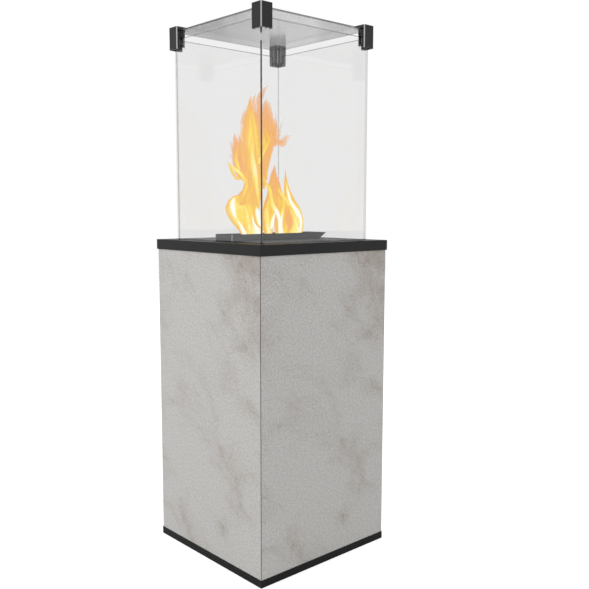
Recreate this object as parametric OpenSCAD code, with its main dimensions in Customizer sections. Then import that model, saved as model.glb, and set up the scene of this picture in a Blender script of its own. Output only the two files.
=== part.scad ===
// Gas patio heater: a clad column with a gas cylinder inside, a burner in a glass chamber on top.
// Millimetres. Z is up, the origin is at the middle of the footprint on the ground.
// The front is -Y, the right side is +X and the door is at the back, +Y.

/* [Overall] */
// Width and depth of the tray under the glass
body_w = 500; // [490:5:540]
// Height of the tray's top above the ground
stand_h = 945; // [935:5:1000]

/* [Plinth] */
// Height of the plinth
base_h = 23; // [20:1:32]
// How far the plinth stands in from the tray's edge
base_inset = 2; // [1.5:0.5:3]
// Sheet of the plinth's skirt and floor
base_t = 2; // [1.5:0.5:3]
// Gap that the feet hold open under the skirt
ground_gap = 1; // [0.5:0.5:3]
// Width of a rubber foot
foot_d = 36; // [28:2:44]
// Thread of a foot's screw
foot_screw_d = 6; // [5:1:8]

/* [Cladding] */
// Thickness of a cladding panel
panel_t = 10; // [8:1:11]
// How far the cladding stands in from the tray's edge
panel_inset = 3; // [2.5:0.5:4]
// Half of the open joint at a mitred corner
mitre_gap = 0.4; // [0.2:0.1:0.8]
// Blunt tip of a mitred edge
arris = 0.8; // [0.4:0.2:1.5]

/* [Frame] */
// Leg of a corner post
post_leg = 30; // [26:1:34]
// Wall of the posts and rails
post_t = 2; // [1.5:0.5:3]
// Ledge of the top rails
rail_leg = 25; // [20:1:28]
// Height of a hearth beam
beam_h = 9.5; // [8:0.5:14]
// Width of a hearth beam
beam_w = 30; // [24:2:36]

/* [Tray] */
// Height of the tray's edge
tray_h = 30; // [27:1:36]
// Thickness of the tray's top
tray_t = 3; // [2:0.5:4]
// Wall of the tray's edge
tray_wall = 2; // [1.5:0.5:2.5]
// Bevel along the tray's top edge
tray_bevel = 1; // [0.5:0.25:1.5]

/* [Glass] */
// How far the glass stands in from the tray's edge
glass_inset = 46; // [42:1:52]
// Height of the panes above the tray
glass_h = 595.5; // [560:0.5:620]
// Thickness of a pane
pane_t = 6; // [5:1:8]
// Depth of the groove that a pane stands in
groove_depth = 14; // [12:1:18]
// Silicone round a pane's foot
seal_side = 0.6; // [0.5:0.1:1]
// Silicone under a pane
seal_t = 1; // [0.5:0.5:2]
// Wall of the glass channel
channel_wall = 1.5; // [1:0.25:2]
// Vent gap between the panes and the top glass
vent_gap = 20; // [14:1:24]
// Thickness of the top glass
top_glass_t = 5; // [4:1:8]

/* [Clamps] */
// Leg of a clamp in plan
clamp_leg = 41; // [36:0.5:44]
// Depth of a clamp's leg across the glass
clamp_depth = 25; // [23:0.5:27]
// How far a clamp stands proud of the glass
clamp_proud = 12; // [10:0.25:12.5]
// Height of a clamp
clamp_h = 65; // [62:1:70]
// How far a clamp reaches down over the panes
clamp_reach = 31; // [28:1:34]
// Outer wall of a clamp
clamp_wall = 4; // [3:0.5:5]
// Bevel on a clamp's outer corner and on the ends of its legs
clamp_bevel = 2.5; // [1.5:0.5:3]
// Thickness of a clamp pad
pad_t = 1.5; // [1:0.25:2]
// How far the inner jaw stops short of the outer wall
jaw_rise = 10; // [6:1:12]

/* [Burner] */
// Width of the burner trough
trough_w = 80; // [70:2:90]
// Gap between the trough's square end and the glass
near_gap = 18; // [12:1:28]
// Gap between the rim of the trough's sloping end and the glass
far_gap = 3; // [2.5:0.5:18]
// How far the far end slopes out
trough_slope = 30; // [16:1:30]
// Height of the trough
trough_h = 20; // [17:1:26]
// Sheet of the trough and the deck
trough_t = 1.5; // [1:0.25:2]
// Flat of the folded corners at its square end
trough_fold = 1.8; // [1:0.2:2]
// Number of flame ports in a row
port_count = 14; // [8:1:15]
// Outer width of the mixing tube
mix_d = 22; // [18:1:24]

/* [Cylinder] */
// Width of the gas cylinder
cyl_d = 300; // [280:5:310]
// Length of its straight side
cyl_side = 290; // [250:10:320]
// Height of a domed end
dome_h = 80; // [70:2:90]
// Steel of the shell
cyl_wall = 3; // [2:0.5:4]
// Radius of the collar
collar_r = 105; // [95:1:112]
// Width of the handwheel
wheel_d = 56; // [48:2:62]

/* [Controls] */
// Width of the main knob
knob_d = 40; // [34:2:44]
// Width of the flame knob
flame_knob_d = 26; // [22:1:30]
// How far the main knob is pressed in
knob_travel = 5; // [3:0.5:6]
// How far the igniter button is pressed in
button_travel = 6; // [4:0.5:7]

/* [Door] */
// Gap round the door
door_gap = 3; // [2.5:0.25:3.5]
// Width of the finger hole
finger_d = 32; // [26:2:36]
// Height of the finger hole's centre
finger_z = 470; // [420:10:520]
// Outer radius of a hinge knuckle
knuckle_r = 4; // [3.5:0.25:4.25]
// Length of a hinge
hinge_h = 60; // [48:2:72]

/* [Hidden] */
$fn = 48;
fit = 0.3;
running = 0.05;
sliding = 0.08;

hw = body_w / 2;
base_out = hw - base_inset;
clad_out = hw - panel_inset;
clad_in = clad_out - panel_t;
plate_z = stand_h - tray_t;
skirt_z = stand_h - tray_h;
floor_z = base_h;

// glass chamber
glass_w = body_w - 2 * glass_inset;
glass_out = glass_w / 2;
glass_in = glass_out - pane_t;
pane_z = stand_h - groove_depth;
pane_top = stand_h + glass_h;
top_glass_z = pane_top + vent_gap;
groove_out = glass_out + seal_side;
groove_in = glass_in - seal_side;
channel_z = pane_z - seal_t - channel_wall;

// frame
ledge_z = channel_z - beam_h;
door_plate_t = 2;
stop_y = clad_in - door_plate_t - fit;

// door
door_left = -clad_in + door_gap;
door_right = clad_in - door_gap;
door_low = floor_z + door_gap - 1;
door_high = skirt_z - door_gap + 1;
rail_w = 25;
rail_deep = 15;
rail_x = 150;
hinge_x = door_left + knuckle_r;
hinge_y = clad_out - knuckle_r;
pin_r = knuckle_r / 2;
hinge_inset = 95;
hinge_zs = [door_low + hinge_inset, door_high - hinge_inset];
notch_w = 2 * knuckle_r + 2;

// cylinder
cyl_r = cyl_d / 2;
ring_gap = 17;
ring_r = cyl_r - 30;
ring_bead = 2;
shell_low = floor_z + ring_gap + dome_h;
shell_high = shell_low + cyl_side;
neck_z = shell_high + dome_h + 8;
outlet_z = neck_z + 32;
wheel_z = neck_z + 60;
collar_top = neck_z + 87;

// burner feed: the mixing tube turns up into the trough through an elbow
trough_near = glass_in - near_gap;
trough_far = glass_in - far_gap - trough_slope;
mix_y = -10;
elbow_r = 25;
elbow_drop = 9;
mix_z = plate_z - elbow_r - elbow_drop;
mix_length = 95;
mix_end = mix_y + mix_length;
pilot_inset = 30;
pilot_y = pilot_inset - trough_near;
pilot_x = 22;

// controls, stacked back from the door's rails
lead_room = 9;
shield_z = mix_z - mix_d / 2 - lead_room;
boss_h = 4;
knob_depth = 14;
pointer = 2;
knob_gap = knob_travel + 3;
rail_gap = 6;
control_y = clad_in - door_plate_t - rail_deep - rail_gap - pointer - knob_depth - knob_gap - boss_h;
knob_back = control_y + boss_h + knob_gap;
sleeve_deep = 10;
shaft_deep = 14;
button_deep = 16;
valve_h = 65;
valve_d = 50;
valve_w = 90;
union_h = 12;
pipe_room = 26;
valve_z = shield_z - pipe_room - union_h - valve_h;
port_y = control_y - valve_d / 2;
port_z = valve_z + valve_h + union_h;
knob_rise = 33;
knob_z = valve_z + knob_rise;
main_x = -18;
flame_x = 28;
igniter_x = -90;
igniter_rise = 12;
igniter_z = knob_z + igniter_rise;
igniter_back = control_y - 56;
window_d = 86;
window_left = igniter_x - 20;
window_right = valve_w / 2 - 5;

// a square ring about the middle, given by half of its outer and inner widths
module square_frame(outer, inner, low, high) {
    translate([0, 0, low]) linear_extrude(high - low) difference() {
        square(2 * outer, center = true);
        square(2 * inner, center = true);
    }
}

module four_times() {
    for (a = [0:90:270]) rotate([0, 0, a]) children();
}

// a square slab with a bevel round its top edge
module bevelled_slab(width, height, bevel) {
    w = width / 2;
    section = [[-w, 0], [w, 0], [w, height - bevel], [w - bevel, height], [bevel - w, height],
        [-w, height - bevel]];
    intersection() {
        rotate([90, 0, 0]) linear_extrude(width, center = true) polygon(section);
        rotate([90, 0, 90]) linear_extrude(width, center = true) polygon(section);
    }
}

module box(low, high) {
    translate(low) cube(high - low);
}

// a round bar along +Y from y0 to y1
module bar_y(x, z, r, y0, y1) {
    translate([x, y0, z]) rotate([-90, 0, 0]) cylinder(r = r, h = y1 - y0);
}

module ring(outer, inner, height) {
    difference() {
        cylinder(r = outer, h = height);
        translate([0, 0, -1]) cylinder(r = inner, h = height + 2);
    }
}

// a bent tube through hand-placed points, its ends square to its first and last stretches
function unit(v) = v / norm(v);
function spline_point(p, i, t) =
    let (a = p[max(i - 1, 0)], b = p[i], c = p[i + 1], d = p[min(i + 2, len(p) - 1)])
    0.5 * (2 * b + (c - a) * t + (2 * a - 5 * b + 4 * c - d) * t * t
        + (3 * b - a - 3 * c + d) * t * t * t);
function smooth_path(p, steps) = concat(
    [for (i = [0:len(p) - 2], k = [0:steps - 1]) spline_point(p, i, k / steps)],
    [p[len(p) - 1]]);
function headings(p, first, last) = [for (i = [0:len(p) - 1])
    i == 0 ? first : i == len(p) - 1 ? last : unit(p[i + 1] - p[i - 1])];
function side_steps(t, i, n) = i >= len(t) ? [] :
    let (m = unit(n - (n * t[i]) * t[i])) concat([m], side_steps(t, i + 1, m));

module bent_tube(points, r, sides, steps) {
    path = smooth_path(points, steps);
    last = len(points) - 1;
    t = headings(path, unit(points[1] - points[0]), unit(points[last] - points[last - 1]));
    start = abs(t[0].x) > 0.9 ? [0, 1, 0] : [1, 0, 0];
    side = side_steps(t, 0, start);
    count = len(path);
    corners = [for (i = [0:count - 1], k = [0:sides - 1])
        path[i] + r * (cos(360 * k / sides) * side[i] + sin(360 * k / sides) * cross(t[i], side[i]))];
    walls = [for (i = [0:count - 2], k = [0:sides - 1], half = [0, 1])
        let (a = i * sides + k, b = i * sides + (k + 1) % sides)
        half == 0 ? [a, a + sides, b] : [b, a + sides, b + sides]];
    ends = [[for (k = [0:sides - 1]) k],
        [for (k = [0:sides - 1]) (count - 1) * sides + sides - 1 - k]];
    polyhedron(corners, concat(walls, ends));
}

// Plinth

module plinth_floor() {
    slot = [40, 8];
    slot_inset = 80;
    w = base_out - base_t;
    color("#26282a") difference() {
        translate([0, 0, base_h - base_t]) linear_extrude(base_t) square(2 * w, center = true);
        for (side = [-1, 1], i = [-3:3])
            translate([side * (w - slot_inset), i * 20, base_h])
                cube([slot.x, slot.y, 3 * base_t], center = true);
        at_feet() translate([0, 0, base_h - base_t - 1]) cylinder(d = foot_screw_d + fit, h = base_t + 2);
    }
}

module plinth_skirt() {
    color("#26282a") square_frame(base_out, base_out - base_t, ground_gap, base_h);
}

module at_feet() {
    w = hw - 50;
    for (x = [-w, w], y = [-w, w]) translate([x, y, 0]) children();
}

module rubber_feet() {
    height = base_h - base_t;
    color("#1c1c1c") at_feet() difference() {
        rotate_extrude() polygon([[0, 0], [foot_d / 2 - 2, 0], [foot_d / 2, 2],
            [foot_d / 2, height], [0, height]]);
        translate([0, 0, 6]) cylinder(d = foot_screw_d + fit, h = height);
    }
}

module foot_screws() {
    color("#a8aaac") at_feet() {
        translate([0, 0, 7]) cylinder(d = foot_screw_d, h = base_h - 7 + 1);
        difference() {
            translate([0, 0, base_h]) cylinder(r1 = foot_screw_d, r2 = foot_screw_d * 0.7, h = 3.3);
            translate([0, 0, base_h + 1.5]) cylinder(d = foot_screw_d * 0.66, h = 3, $fn = 6);
        }
    }
}

// Frame

module angle_post(height) {
    linear_extrude(height) polygon([[0, 0], [-post_leg, 0], [-post_leg, -post_t],
        [-post_t, -post_t], [-post_t, -post_leg], [0, -post_leg]]);
}

module corner_posts() {
    height = plate_z - floor_z;
    color("#303234") for (side = [0, 1]) mirror([side, 0, 0]) {
        translate([clad_in, stop_y, floor_z]) angle_post(height);
        translate([clad_in, -clad_in, floor_z]) mirror([0, 1, 0]) angle_post(height);
    }
}

module top_rails() {
    span = 2 * (clad_in - post_leg);
    profile = [[0, ledge_z - post_t], [-rail_leg, ledge_z - post_t], [-rail_leg, ledge_z],
        [-post_t, ledge_z], [-post_t, plate_z], [0, plate_z]];
    color("#303234") {
        translate([0, stop_y, 0]) rotate([90, 0, 90]) linear_extrude(span, center = true) polygon(profile);
        mirror([0, 1, 0]) translate([0, clad_in, 0])
            rotate([90, 0, 90]) linear_extrude(span, center = true) polygon(profile);
        // the side rails run from the front post to the rear one, clear of the other two ledges
        for (side = [0, 1]) mirror([side, 0, 0]) translate([clad_in, 0, 0]) {
            low = post_leg - clad_in;
            high = stop_y - post_leg;
            translate([0, (low + high) / 2, 0]) rotate([90, 0, 0])
                linear_extrude(high - low, center = true) polygon(profile);
        }
    }
}

module hearth_beams() {
    span = 2 * (clad_in - post_t - fit);
    w = beam_w / 2;
    wall = post_t;
    color("#303234") for (side = [-1, 1])
        translate([0, side * (glass_in + pane_t / 2), ledge_z]) rotate([90, 0, 90])
            linear_extrude(span, center = true) polygon([[-w, 0], [-w, beam_h], [w, beam_h], [w, 0],
                [w - wall, 0], [w - wall, beam_h - wall], [wall - w, beam_h - wall], [wall - w, 0]]);
}

// Cladding

clad_high = plate_z - fit;

function front_plan() = [
    [arris + mitre_gap - clad_out, -clad_out], [clad_out - mitre_gap - arris, -clad_out],
    [clad_out - mitre_gap - arris, arris - clad_out], [clad_in - mitre_gap, -clad_in],
    [mitre_gap - clad_in, -clad_in], [arris + mitre_gap - clad_out, arris - clad_out]];

function side_plan() = [
    [clad_out, arris + mitre_gap - clad_out], [clad_out - arris, arris + mitre_gap - clad_out],
    [clad_in, mitre_gap - clad_in], [clad_in, clad_out], [clad_out - arris, clad_out],
    [clad_out, clad_out - arris]];

module panel(plan) {
    color("#b9b5b0") translate([0, 0, floor_z]) linear_extrude(clad_high - floor_z) polygon(plan);
}

module front_panel() {
    panel(front_plan());
}

module right_panel() {
    panel(side_plan());
}

module left_panel() {
    mirror([1, 0, 0]) panel(side_plan());
}

// Tray, hearth and glass

module top_tray() {
    color("#2b2d2f") difference() {
        translate([0, 0, skirt_z]) bevelled_slab(body_w, tray_h, tray_bevel);
        inner = body_w - 2 * tray_wall;
        translate([0, 0, skirt_z - 1]) linear_extrude(tray_h - tray_t + 1) square(inner, center = true);
        translate([0, 0, plate_z - 1]) linear_extrude(tray_t + 2) square(2 * groove_out, center = true);
    }
}

module hearth_plate() {
    color("#2b2d2f") translate([0, 0, plate_z]) linear_extrude(tray_t) difference() {
        square(2 * groove_in, center = true);
        translate([0, mix_y]) square(2 * (mix_d / 2 + 10), center = true);
        translate([0, pilot_y]) square([64, 26], center = true);
    }
}

module glass_channels() {
    outer = groove_out + channel_wall;
    inner = groove_in - channel_wall;
    color("#303234") difference() {
        square_frame(outer, inner, channel_z, plate_z);
        square_frame(groove_out, groove_in, channel_z + channel_wall, plate_z + 1);
    }
}

module glass_seal() {
    top = stand_h - 1;
    color("#151515") difference() {
        square_frame(groove_out, groove_in, pane_z - seal_t, top);
        square_frame(glass_out, glass_in, pane_z, top + 1);
    }
}

module side_pane() {
    color("#d8e4e0", 0.35) box([glass_in, -glass_out, pane_z], [glass_out, glass_out, pane_top]);
}

module end_pane() {
    half = glass_in - fit;
    color("#d8e4e0", 0.35) box([-half, glass_in, pane_z], [half, glass_out, pane_top]);
}

module right_glass() {
    side_pane();
}

module left_glass() {
    mirror([1, 0, 0]) side_pane();
}

module rear_glass() {
    end_pane();
}

module front_glass() {
    mirror([0, 1, 0]) end_pane();
}

module top_glass() {
    color("#d8e4e0", 0.35) translate([0, 0, top_glass_z]) linear_extrude(top_glass_t)
        square(glass_w, center = true);
}

// Corner clamps: a cast L with slots for two panes and the top glass, under a square cap

clamp_out = glass_out + clamp_proud;
clamp_end = clamp_out - clamp_leg;
clamp_low = pane_top - clamp_reach;
clamp_top = clamp_low + clamp_h;
jaw_out = glass_in - pad_t;
jaw_in = clamp_out - clamp_depth;
small_bevel = 1;
rib_pitch = 15;
clamp_screw_z = clamp_low + jaw_rise + 10;

// an L in plan, bevelled outside by bevel and on its inner tips by tip, with a flat in its inner corner
function l_plan(out, inner, end, bevel, tip) = [
    [end, out - bevel], [end + bevel, out], [out - bevel, out], [out, out - bevel], [out, end + bevel],
    [out - bevel, end], [inner + tip, end], [inner, end + tip], [inner, inner - 2 * tip],
    [inner - 2 * tip, inner], [end + tip, inner], [end, inner + tip]];

module clamp_wall_ribs() {
    reach = glass_out + pad_t;
    for (swap = [0, 1]) mirror([swap, -swap, 0]) for (x = [clamp_end, clamp_end + rib_pitch])
        box([x, reach, clamp_low], [x + clamp_wall, clamp_out - clamp_bevel, top_glass_z]);
}

module corner_clamp() {
    bridge_top = top_glass_z - 1;
    cap_low = top_glass_z + top_glass_t + 1;
    color("#3a3b3c") difference() {
        union() {
            translate([0, 0, clamp_low]) linear_extrude(clamp_h)
                polygon(l_plan(clamp_out, clamp_out - clamp_wall, clamp_end, clamp_bevel, 0));
            clamp_wall_ribs();
            translate([0, 0, pane_top]) linear_extrude(bridge_top - pane_top)
                polygon(l_plan(clamp_out, jaw_in, clamp_end, clamp_bevel, small_bevel));
            translate([0, 0, clamp_low + jaw_rise]) linear_extrude(bridge_top - clamp_low - jaw_rise)
                polygon(l_plan(jaw_out, jaw_in, clamp_end, 0, small_bevel));
            translate([0, 0, cap_low]) linear_extrude(clamp_top - cap_low)
                polygon([[clamp_end, clamp_out - clamp_bevel], [clamp_end + clamp_bevel, clamp_out],
                    [clamp_out - clamp_bevel, clamp_out], [clamp_out, clamp_out - clamp_bevel],
                    [clamp_out, clamp_end + clamp_bevel], [clamp_out - clamp_bevel, clamp_end],
                    [clamp_end + small_bevel, clamp_end], [clamp_end, clamp_end + small_bevel]]);
        }
        for (swap = [0, 1]) mirror([swap, -swap, 0])
            bar_y(clamp_end + 7, clamp_screw_z, 2.5 + sliding, jaw_in - 1, jaw_out + 1);
    }
}

module clamp_rear_right() {
    corner_clamp();
}

module clamp_rear_left() {
    rotate([0, 0, 90]) corner_clamp();
}

module clamp_front_left() {
    rotate([0, 0, 180]) corner_clamp();
}

module clamp_front_right() {
    rotate([0, 0, 270]) corner_clamp();
}

module clamp_pads() {
    low = clamp_low + jaw_rise + 2;
    high = low + 16;
    color("#1a1a1a") four_times() {
        for (swap = [0, 1]) mirror([swap, -swap, 0]) {
            box([clamp_end, glass_out, low], [glass_in - 2, glass_out + pad_t, high]);
            box([clamp_end + 1, jaw_out, low], [jaw_in, glass_in, high]);
        }
        translate([0, 0, top_glass_z - 1]) linear_extrude(1)
            polygon(l_plan(glass_out, jaw_in + 2, clamp_end + 1, 1, 0));
        translate([0, 0, top_glass_z + top_glass_t]) linear_extrude(1)
            polygon(l_plan(glass_out, jaw_in + 2, clamp_end + 1, 1, 0));
    }
}

module clamp_screws() {
    color("#8f9193") four_times() for (swap = [0, 1]) mirror([swap, -swap, 0]) difference() {
        bar_y(clamp_end + 7, clamp_screw_z, 2.5, jaw_in, jaw_out);
        translate([clamp_end + 7, jaw_in - 1, clamp_screw_z]) rotate([-90, 0, 0])
            cylinder(r = 1.4, h = 3, $fn = 6);
    }
}

// Burner

module burner_trough() {
    top = stand_h + trough_h;
    inner = stand_h + trough_t;
    run = trough_slope * trough_t / trough_h;
    w = trough_w / 2;
    color("#35373a") difference() {
        rotate([90, 0, 90]) linear_extrude(trough_w, center = true) polygon([[-trough_near, stand_h],
            [trough_far, stand_h], [trough_far + trough_slope, top], [-trough_near, top]]);
        rotate([90, 0, 90]) linear_extrude(trough_w - 2 * trough_t, center = true)
            polygon([[trough_t - trough_near, inner], [trough_far - 2 * trough_t + run, inner],
                [trough_far - 2 * trough_t + trough_slope + trough_slope / trough_h, top + 1],
                [trough_t - trough_near, top + 1]]);
        for (side = [-w, w]) translate([side, -trough_near, stand_h - 1])
            cylinder(r = trough_fold, h = trough_h + 2, $fn = 4);
        translate([0, mix_y, stand_h - 1]) cylinder(d = mix_d + 2 * fit, h = 5);
        translate([0, pilot_y, stand_h]) cube([54, 20, 6], center = true);
    }
}

deck_z = stand_h + trough_h * 0.6;

module burner_deck() {
    w = trough_w / 2 - trough_t - fit;
    near = trough_near - 60;
    far = trough_far - 15;
    low = stand_h + trough_t;
    pitch = (near + far) / (port_count + 1);
    color("#45474a") difference() {
        box([-w, -near, low], [w, far, deck_z]);
        box([trough_t - w, trough_t - near, low - 1], [w - trough_t, far - trough_t, deck_z - trough_t]);
        for (x = [-w / 2, 0, w / 2], i = [1:port_count])
            translate([x, i * pitch - near, deck_z]) cube([w * 0.28, 2.5, 4 * trough_t], center = true);
    }
}

module mixing_tube() {
    r = mix_d / 2;
    inner = r - 1.5;
    top = stand_h + 3;
    bend_y = mix_y + elbow_r;
    bend_z = mix_z + elbow_r;
    color("#9a9c9e") {
        translate([0, mix_y, bend_z]) ring(r, inner, top - bend_z);
        translate([0, mix_y, stand_h - 2]) ring(r + 7, inner, 2);
        translate([0, bend_y, bend_z]) rotate([90, 0, 90]) rotate([0, 0, 180])
            rotate_extrude(angle = 90) translate([elbow_r, 0]) difference() {
                circle(r);
                circle(inner);
            }
        difference() {
            translate([0, bend_y, mix_z]) rotate([-90, 0, 0]) ring(r, inner, mix_end - bend_y);
            // air slots round the tube, just ahead of the jet
            for (a = [45, 135]) translate([0, mix_end - 14, mix_z]) rotate([0, a, 0])
                cube([2 * mix_d, 14, 7], center = true);
        }
    }
}

module injector() {
    color("#c9a24a") {
        bar_y(0, mix_z, mix_d / 2, mix_end, mix_end + 3);
        bar_y(0, mix_z, 3, mix_end - 9, mix_end + 1);
        translate([0, mix_end + 3, mix_z]) rotate([-90, 0, 0]) cylinder(r = 8, h = 14, $fn = 6);
    }
}

pilot_top = stand_h + trough_t + 2;

module pilot_bracket() {
    color("#9a9c9e") difference() {
        box([-32, pilot_y - 14, pilot_top - 2], [32, pilot_y + 14, pilot_top]);
        for (x = [-pilot_x, 0, pilot_x]) translate([x, pilot_y, pilot_top - 3])
            cylinder(r = 5 + sliding, h = 4);
    }
}

module pilot_burner() {
    color("#b5a070") translate([-pilot_x, pilot_y, 0]) difference() {
        union() {
            translate([0, 0, stand_h - 19]) cylinder(r = 5, h = trough_h + 13);
            translate([0, 0, pilot_top]) cylinder(r = 7, h = 1.5);
            translate([0, 0, stand_h - 19]) cylinder(r = 7, h = 10, $fn = 6);
        }
        translate([0, 3, stand_h + trough_h - 10]) cube([4, 8, 6], center = true);
    }
}

module igniter_electrode() {
    color("#e8e4da") translate([0, pilot_y, 0]) {
        translate([0, 0, stand_h - 15]) cylinder(r = 3.5, h = 25);
        translate([0, 0, pilot_top]) cylinder(r = 6, h = 2);
        translate([0, 0, stand_h - 15]) cylinder(r = 5, h = 20);
        translate([0, 0, stand_h + 9]) cylinder(r = 1, h = trough_h - 12);
        translate([0, 0, stand_h + trough_h - 4]) rotate([0, -90, 0]) cylinder(r = 1, h = 9);
    }
}

module thermocouple() {
    color("#b06a3c") translate([pilot_x, pilot_y, 0]) {
        translate([0, 0, stand_h - 17]) cylinder(r = 3, h = trough_h + 12);
        translate([0, 0, stand_h - 17]) cylinder(r = 5, h = 21);
        translate([0, 0, pilot_top]) cylinder(r = 6, h = 2);
    }
}

module gas_pipe() {
    y0 = mix_end + 17;
    drop = mix_z - port_z;
    run = port_y - y0;
    color("#c9cbcd") bent_tube([[0, y0, mix_z], [0, y0 + run * 0.2, mix_z], [0, y0 + run * 0.62, mix_z - 4],
        [0, y0 + run * 0.9, mix_z - drop * 0.38], [0, port_y, mix_z - drop * 0.72], [0, port_y, port_z]],
        4, 12, 4);
}

// pilot and thermocouple leads run back under the hearth and down to the valve
module back_lead(x, r, z0) {
    run_z = mix_z - 4;
    end_x = sign(x) * 25;
    color("#b87345") bent_tube([[x, pilot_y, z0], [x, pilot_y, z0 - 9], [x, pilot_y + 6, run_z + 3],
        [x, pilot_y + 24, run_z], [x, -60, run_z], [x, 0, run_z], [x, 60, run_z],
        [end_x, port_y - 30, run_z - 1], [end_x, port_y - 6, run_z - 12], [end_x, port_y, port_z + 14],
        [end_x, port_y, port_z]], r, 8, 4);
}

module pilot_tube() {
    back_lead(-pilot_x, 2, stand_h - 19);
}

module thermocouple_lead() {
    back_lead(pilot_x, 1.5, stand_h - 17);
}

module igniter_lead() {
    run_z = shield_z + 8.5;
    window = control_y - window_d + 2;
    x = igniter_x;
    y = igniter_back;
    z = igniter_z;
    color("#8e2f28") bent_tube([[x, y, z], [x, y - 10, z], [x + 2, y - 20, z + 10],
        [x + 4, y - 20, z + 32], [x + 8, window + 14, shield_z - 6], [x + 16, window - 4, run_z],
        [-66, 60, run_z - 1], [-42, 0, run_z - 1], [-38, -60, run_z - 1],
        [-32, pilot_y + 40, run_z - 1], [-9, pilot_y + 8, run_z], [-1, pilot_y, run_z + 10],
        [0, pilot_y, stand_h - 26], [0, pilot_y, stand_h - 15]], 2, 8, 4);
}

// Heat shield and controls

module heat_shield() {
    w = clad_in - post_t;
    front = 7 - clad_in;
    back = stop_y - 8;
    color("#b4b6b8") difference() {
        union() {
            box([-w, front, shield_z], [w, control_y, shield_z + post_t]);
            for (side = [0, 1]) mirror([side, 0, 0])
                box([w - post_t, front, shield_z], [w, back, ledge_z - post_t - fit]);
        }
        box([window_left, control_y - window_d, shield_z - 1],
            [window_right, control_y + 1, shield_z + post_t + 1]);
    }
}

module control_plate() {
    w = clad_in - post_t;
    low = valve_z - 15;
    color("#303234") difference() {
        union() {
            box([-w, control_y, low], [w, control_y + 2, shield_z]);
            for (side = [0, 1]) mirror([side, 0, 0])
                box([w - post_t, control_y, low], [w, stop_y - 8, shield_z]);
        }
        bar_y(main_x, knob_z, 11 + fit, control_y - 1, control_y + 3);
        bar_y(flame_x, knob_z, 8 + fit, control_y - 1, control_y + 3);
        bar_y(igniter_x, igniter_z, 8 + fit, control_y - 1, control_y + 3);
    }
}

module control_valve() {
    back = control_y - valve_d;
    w = valve_w / 2;
    color("#a9abad") difference() {
        union() {
            translate([0, port_y, valve_z]) linear_extrude(valve_h) polygon([[-w, -valve_d / 2 + 8],
                [8 - w, -valve_d / 2], [w - 8, -valve_d / 2], [w, 8 - valve_d / 2], [w, valve_d / 2],
                [-w, valve_d / 2]]);
            bar_y(main_x, knob_z, 11, control_y - 1, control_y + boss_h);
            bar_y(flame_x, knob_z, 8, control_y - 1, control_y + boss_h);
            for (x = [-25, 0, 25]) translate([x, port_y, valve_z + valve_h]) {
                cylinder(r = 7, h = 4);
                translate([0, 0, 4]) cylinder(r = x == 0 ? 9 : 7, h = union_h - 4, $fn = 6);
            }
            // safety magnet housing under the body, and the gas inlet on the right
            translate([main_x, port_y, valve_z - 14]) cylinder(r = 10, h = 15);
            translate([w, port_y, valve_z + 20]) rotate([0, 90, 0]) cylinder(r = 9, h = 5);
            translate([w + 5, port_y, valve_z + 20]) rotate([0, 90, 0]) cylinder(r = 12, h = 12, $fn = 6);
        }
        bar_y(main_x, knob_z, 6 + sliding, control_y - shaft_deep - knob_travel - 5, control_y + boss_h + 1);
        bar_y(flame_x, knob_z, 3 + running, control_y - 16, control_y + boss_h + 1);
    }
}

// the sleeve is pressed in with the knob; the knob's shaft turns in it
module main_sleeve() {
    color("#c9a24a") difference() {
        bar_y(main_x, knob_z, 6, control_y - sleeve_deep, knob_back - fit);
        bar_y(main_x, knob_z, 4 + running, control_y - sleeve_deep - 1, knob_back + 1);
    }
}

module knob(width, y0, depth, ribs) {
    r = width / 2;
    difference() {
        translate([0, y0, 0]) rotate([-90, 0, 0]) rotate_extrude()
            polygon([[0, 0], [r, 0], [r, 3], [r - 2, 4], [r - 3, depth - 2], [r - 5, depth], [0, depth]]);
        for (i = [0:ribs - 1]) rotate([0, (i + 0.5) * 360 / ribs, 0])
            translate([r, y0 + 4 + depth / 2, 0]) cube([4.4, depth, 3], center = true);
    }
    // pointer ridge
    box([-1.2, y0 + depth - 1, 3], [1.2, y0 + depth + pointer, r - 3]);
}

module main_knob() {
    color("#1e1f20") translate([main_x, 0, knob_z]) {
        knob(knob_d, knob_back, knob_depth, 16);
        bar_y(0, 0, 4, control_y - shaft_deep, knob_back + 1);
    }
}

module flame_knob() {
    color("#1e1f20") translate([flame_x, 0, knob_z]) {
        knob(flame_knob_d, control_y + boss_h + fit, knob_depth, 12);
        bar_y(0, 0, 3, control_y - 12, control_y + boss_h + 1);
    }
}

module piezo_igniter() {
    color("#2a2b2c") difference() {
        union() {
            bar_y(igniter_x, igniter_z, 8, igniter_back + 12, control_y + 2);
            bar_y(igniter_x, igniter_z, 3, igniter_back, igniter_back + 13);
            bar_y(igniter_x, igniter_z, 11, control_y + 2, control_y + boss_h);
            translate([igniter_x, control_y - 6, igniter_z]) rotate([-90, 0, 0])
                cylinder(r = 12, h = 6, $fn = 6);
        }
        bar_y(igniter_x, igniter_z, 6 + sliding, control_y - button_deep - button_travel - 4,
            control_y + boss_h + 1);
    }
}

module igniter_button() {
    color("#b3261e") translate([igniter_x, control_y - button_deep, igniter_z])
        rotate([-90, 0, 0]) rotate_extrude() let (top = button_deep + boss_h + button_travel + 1)
            polygon([[0, 0], [6, 0], [6, top - 2], [5, top - 0.5], [0, top]]);
}

// Gas cylinder

// height of a domed end above its straight side, at a distance from the axis
function dome(r, radius, height) = height * sqrt(max(0, 1 - pow(r / radius, 2)));

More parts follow.
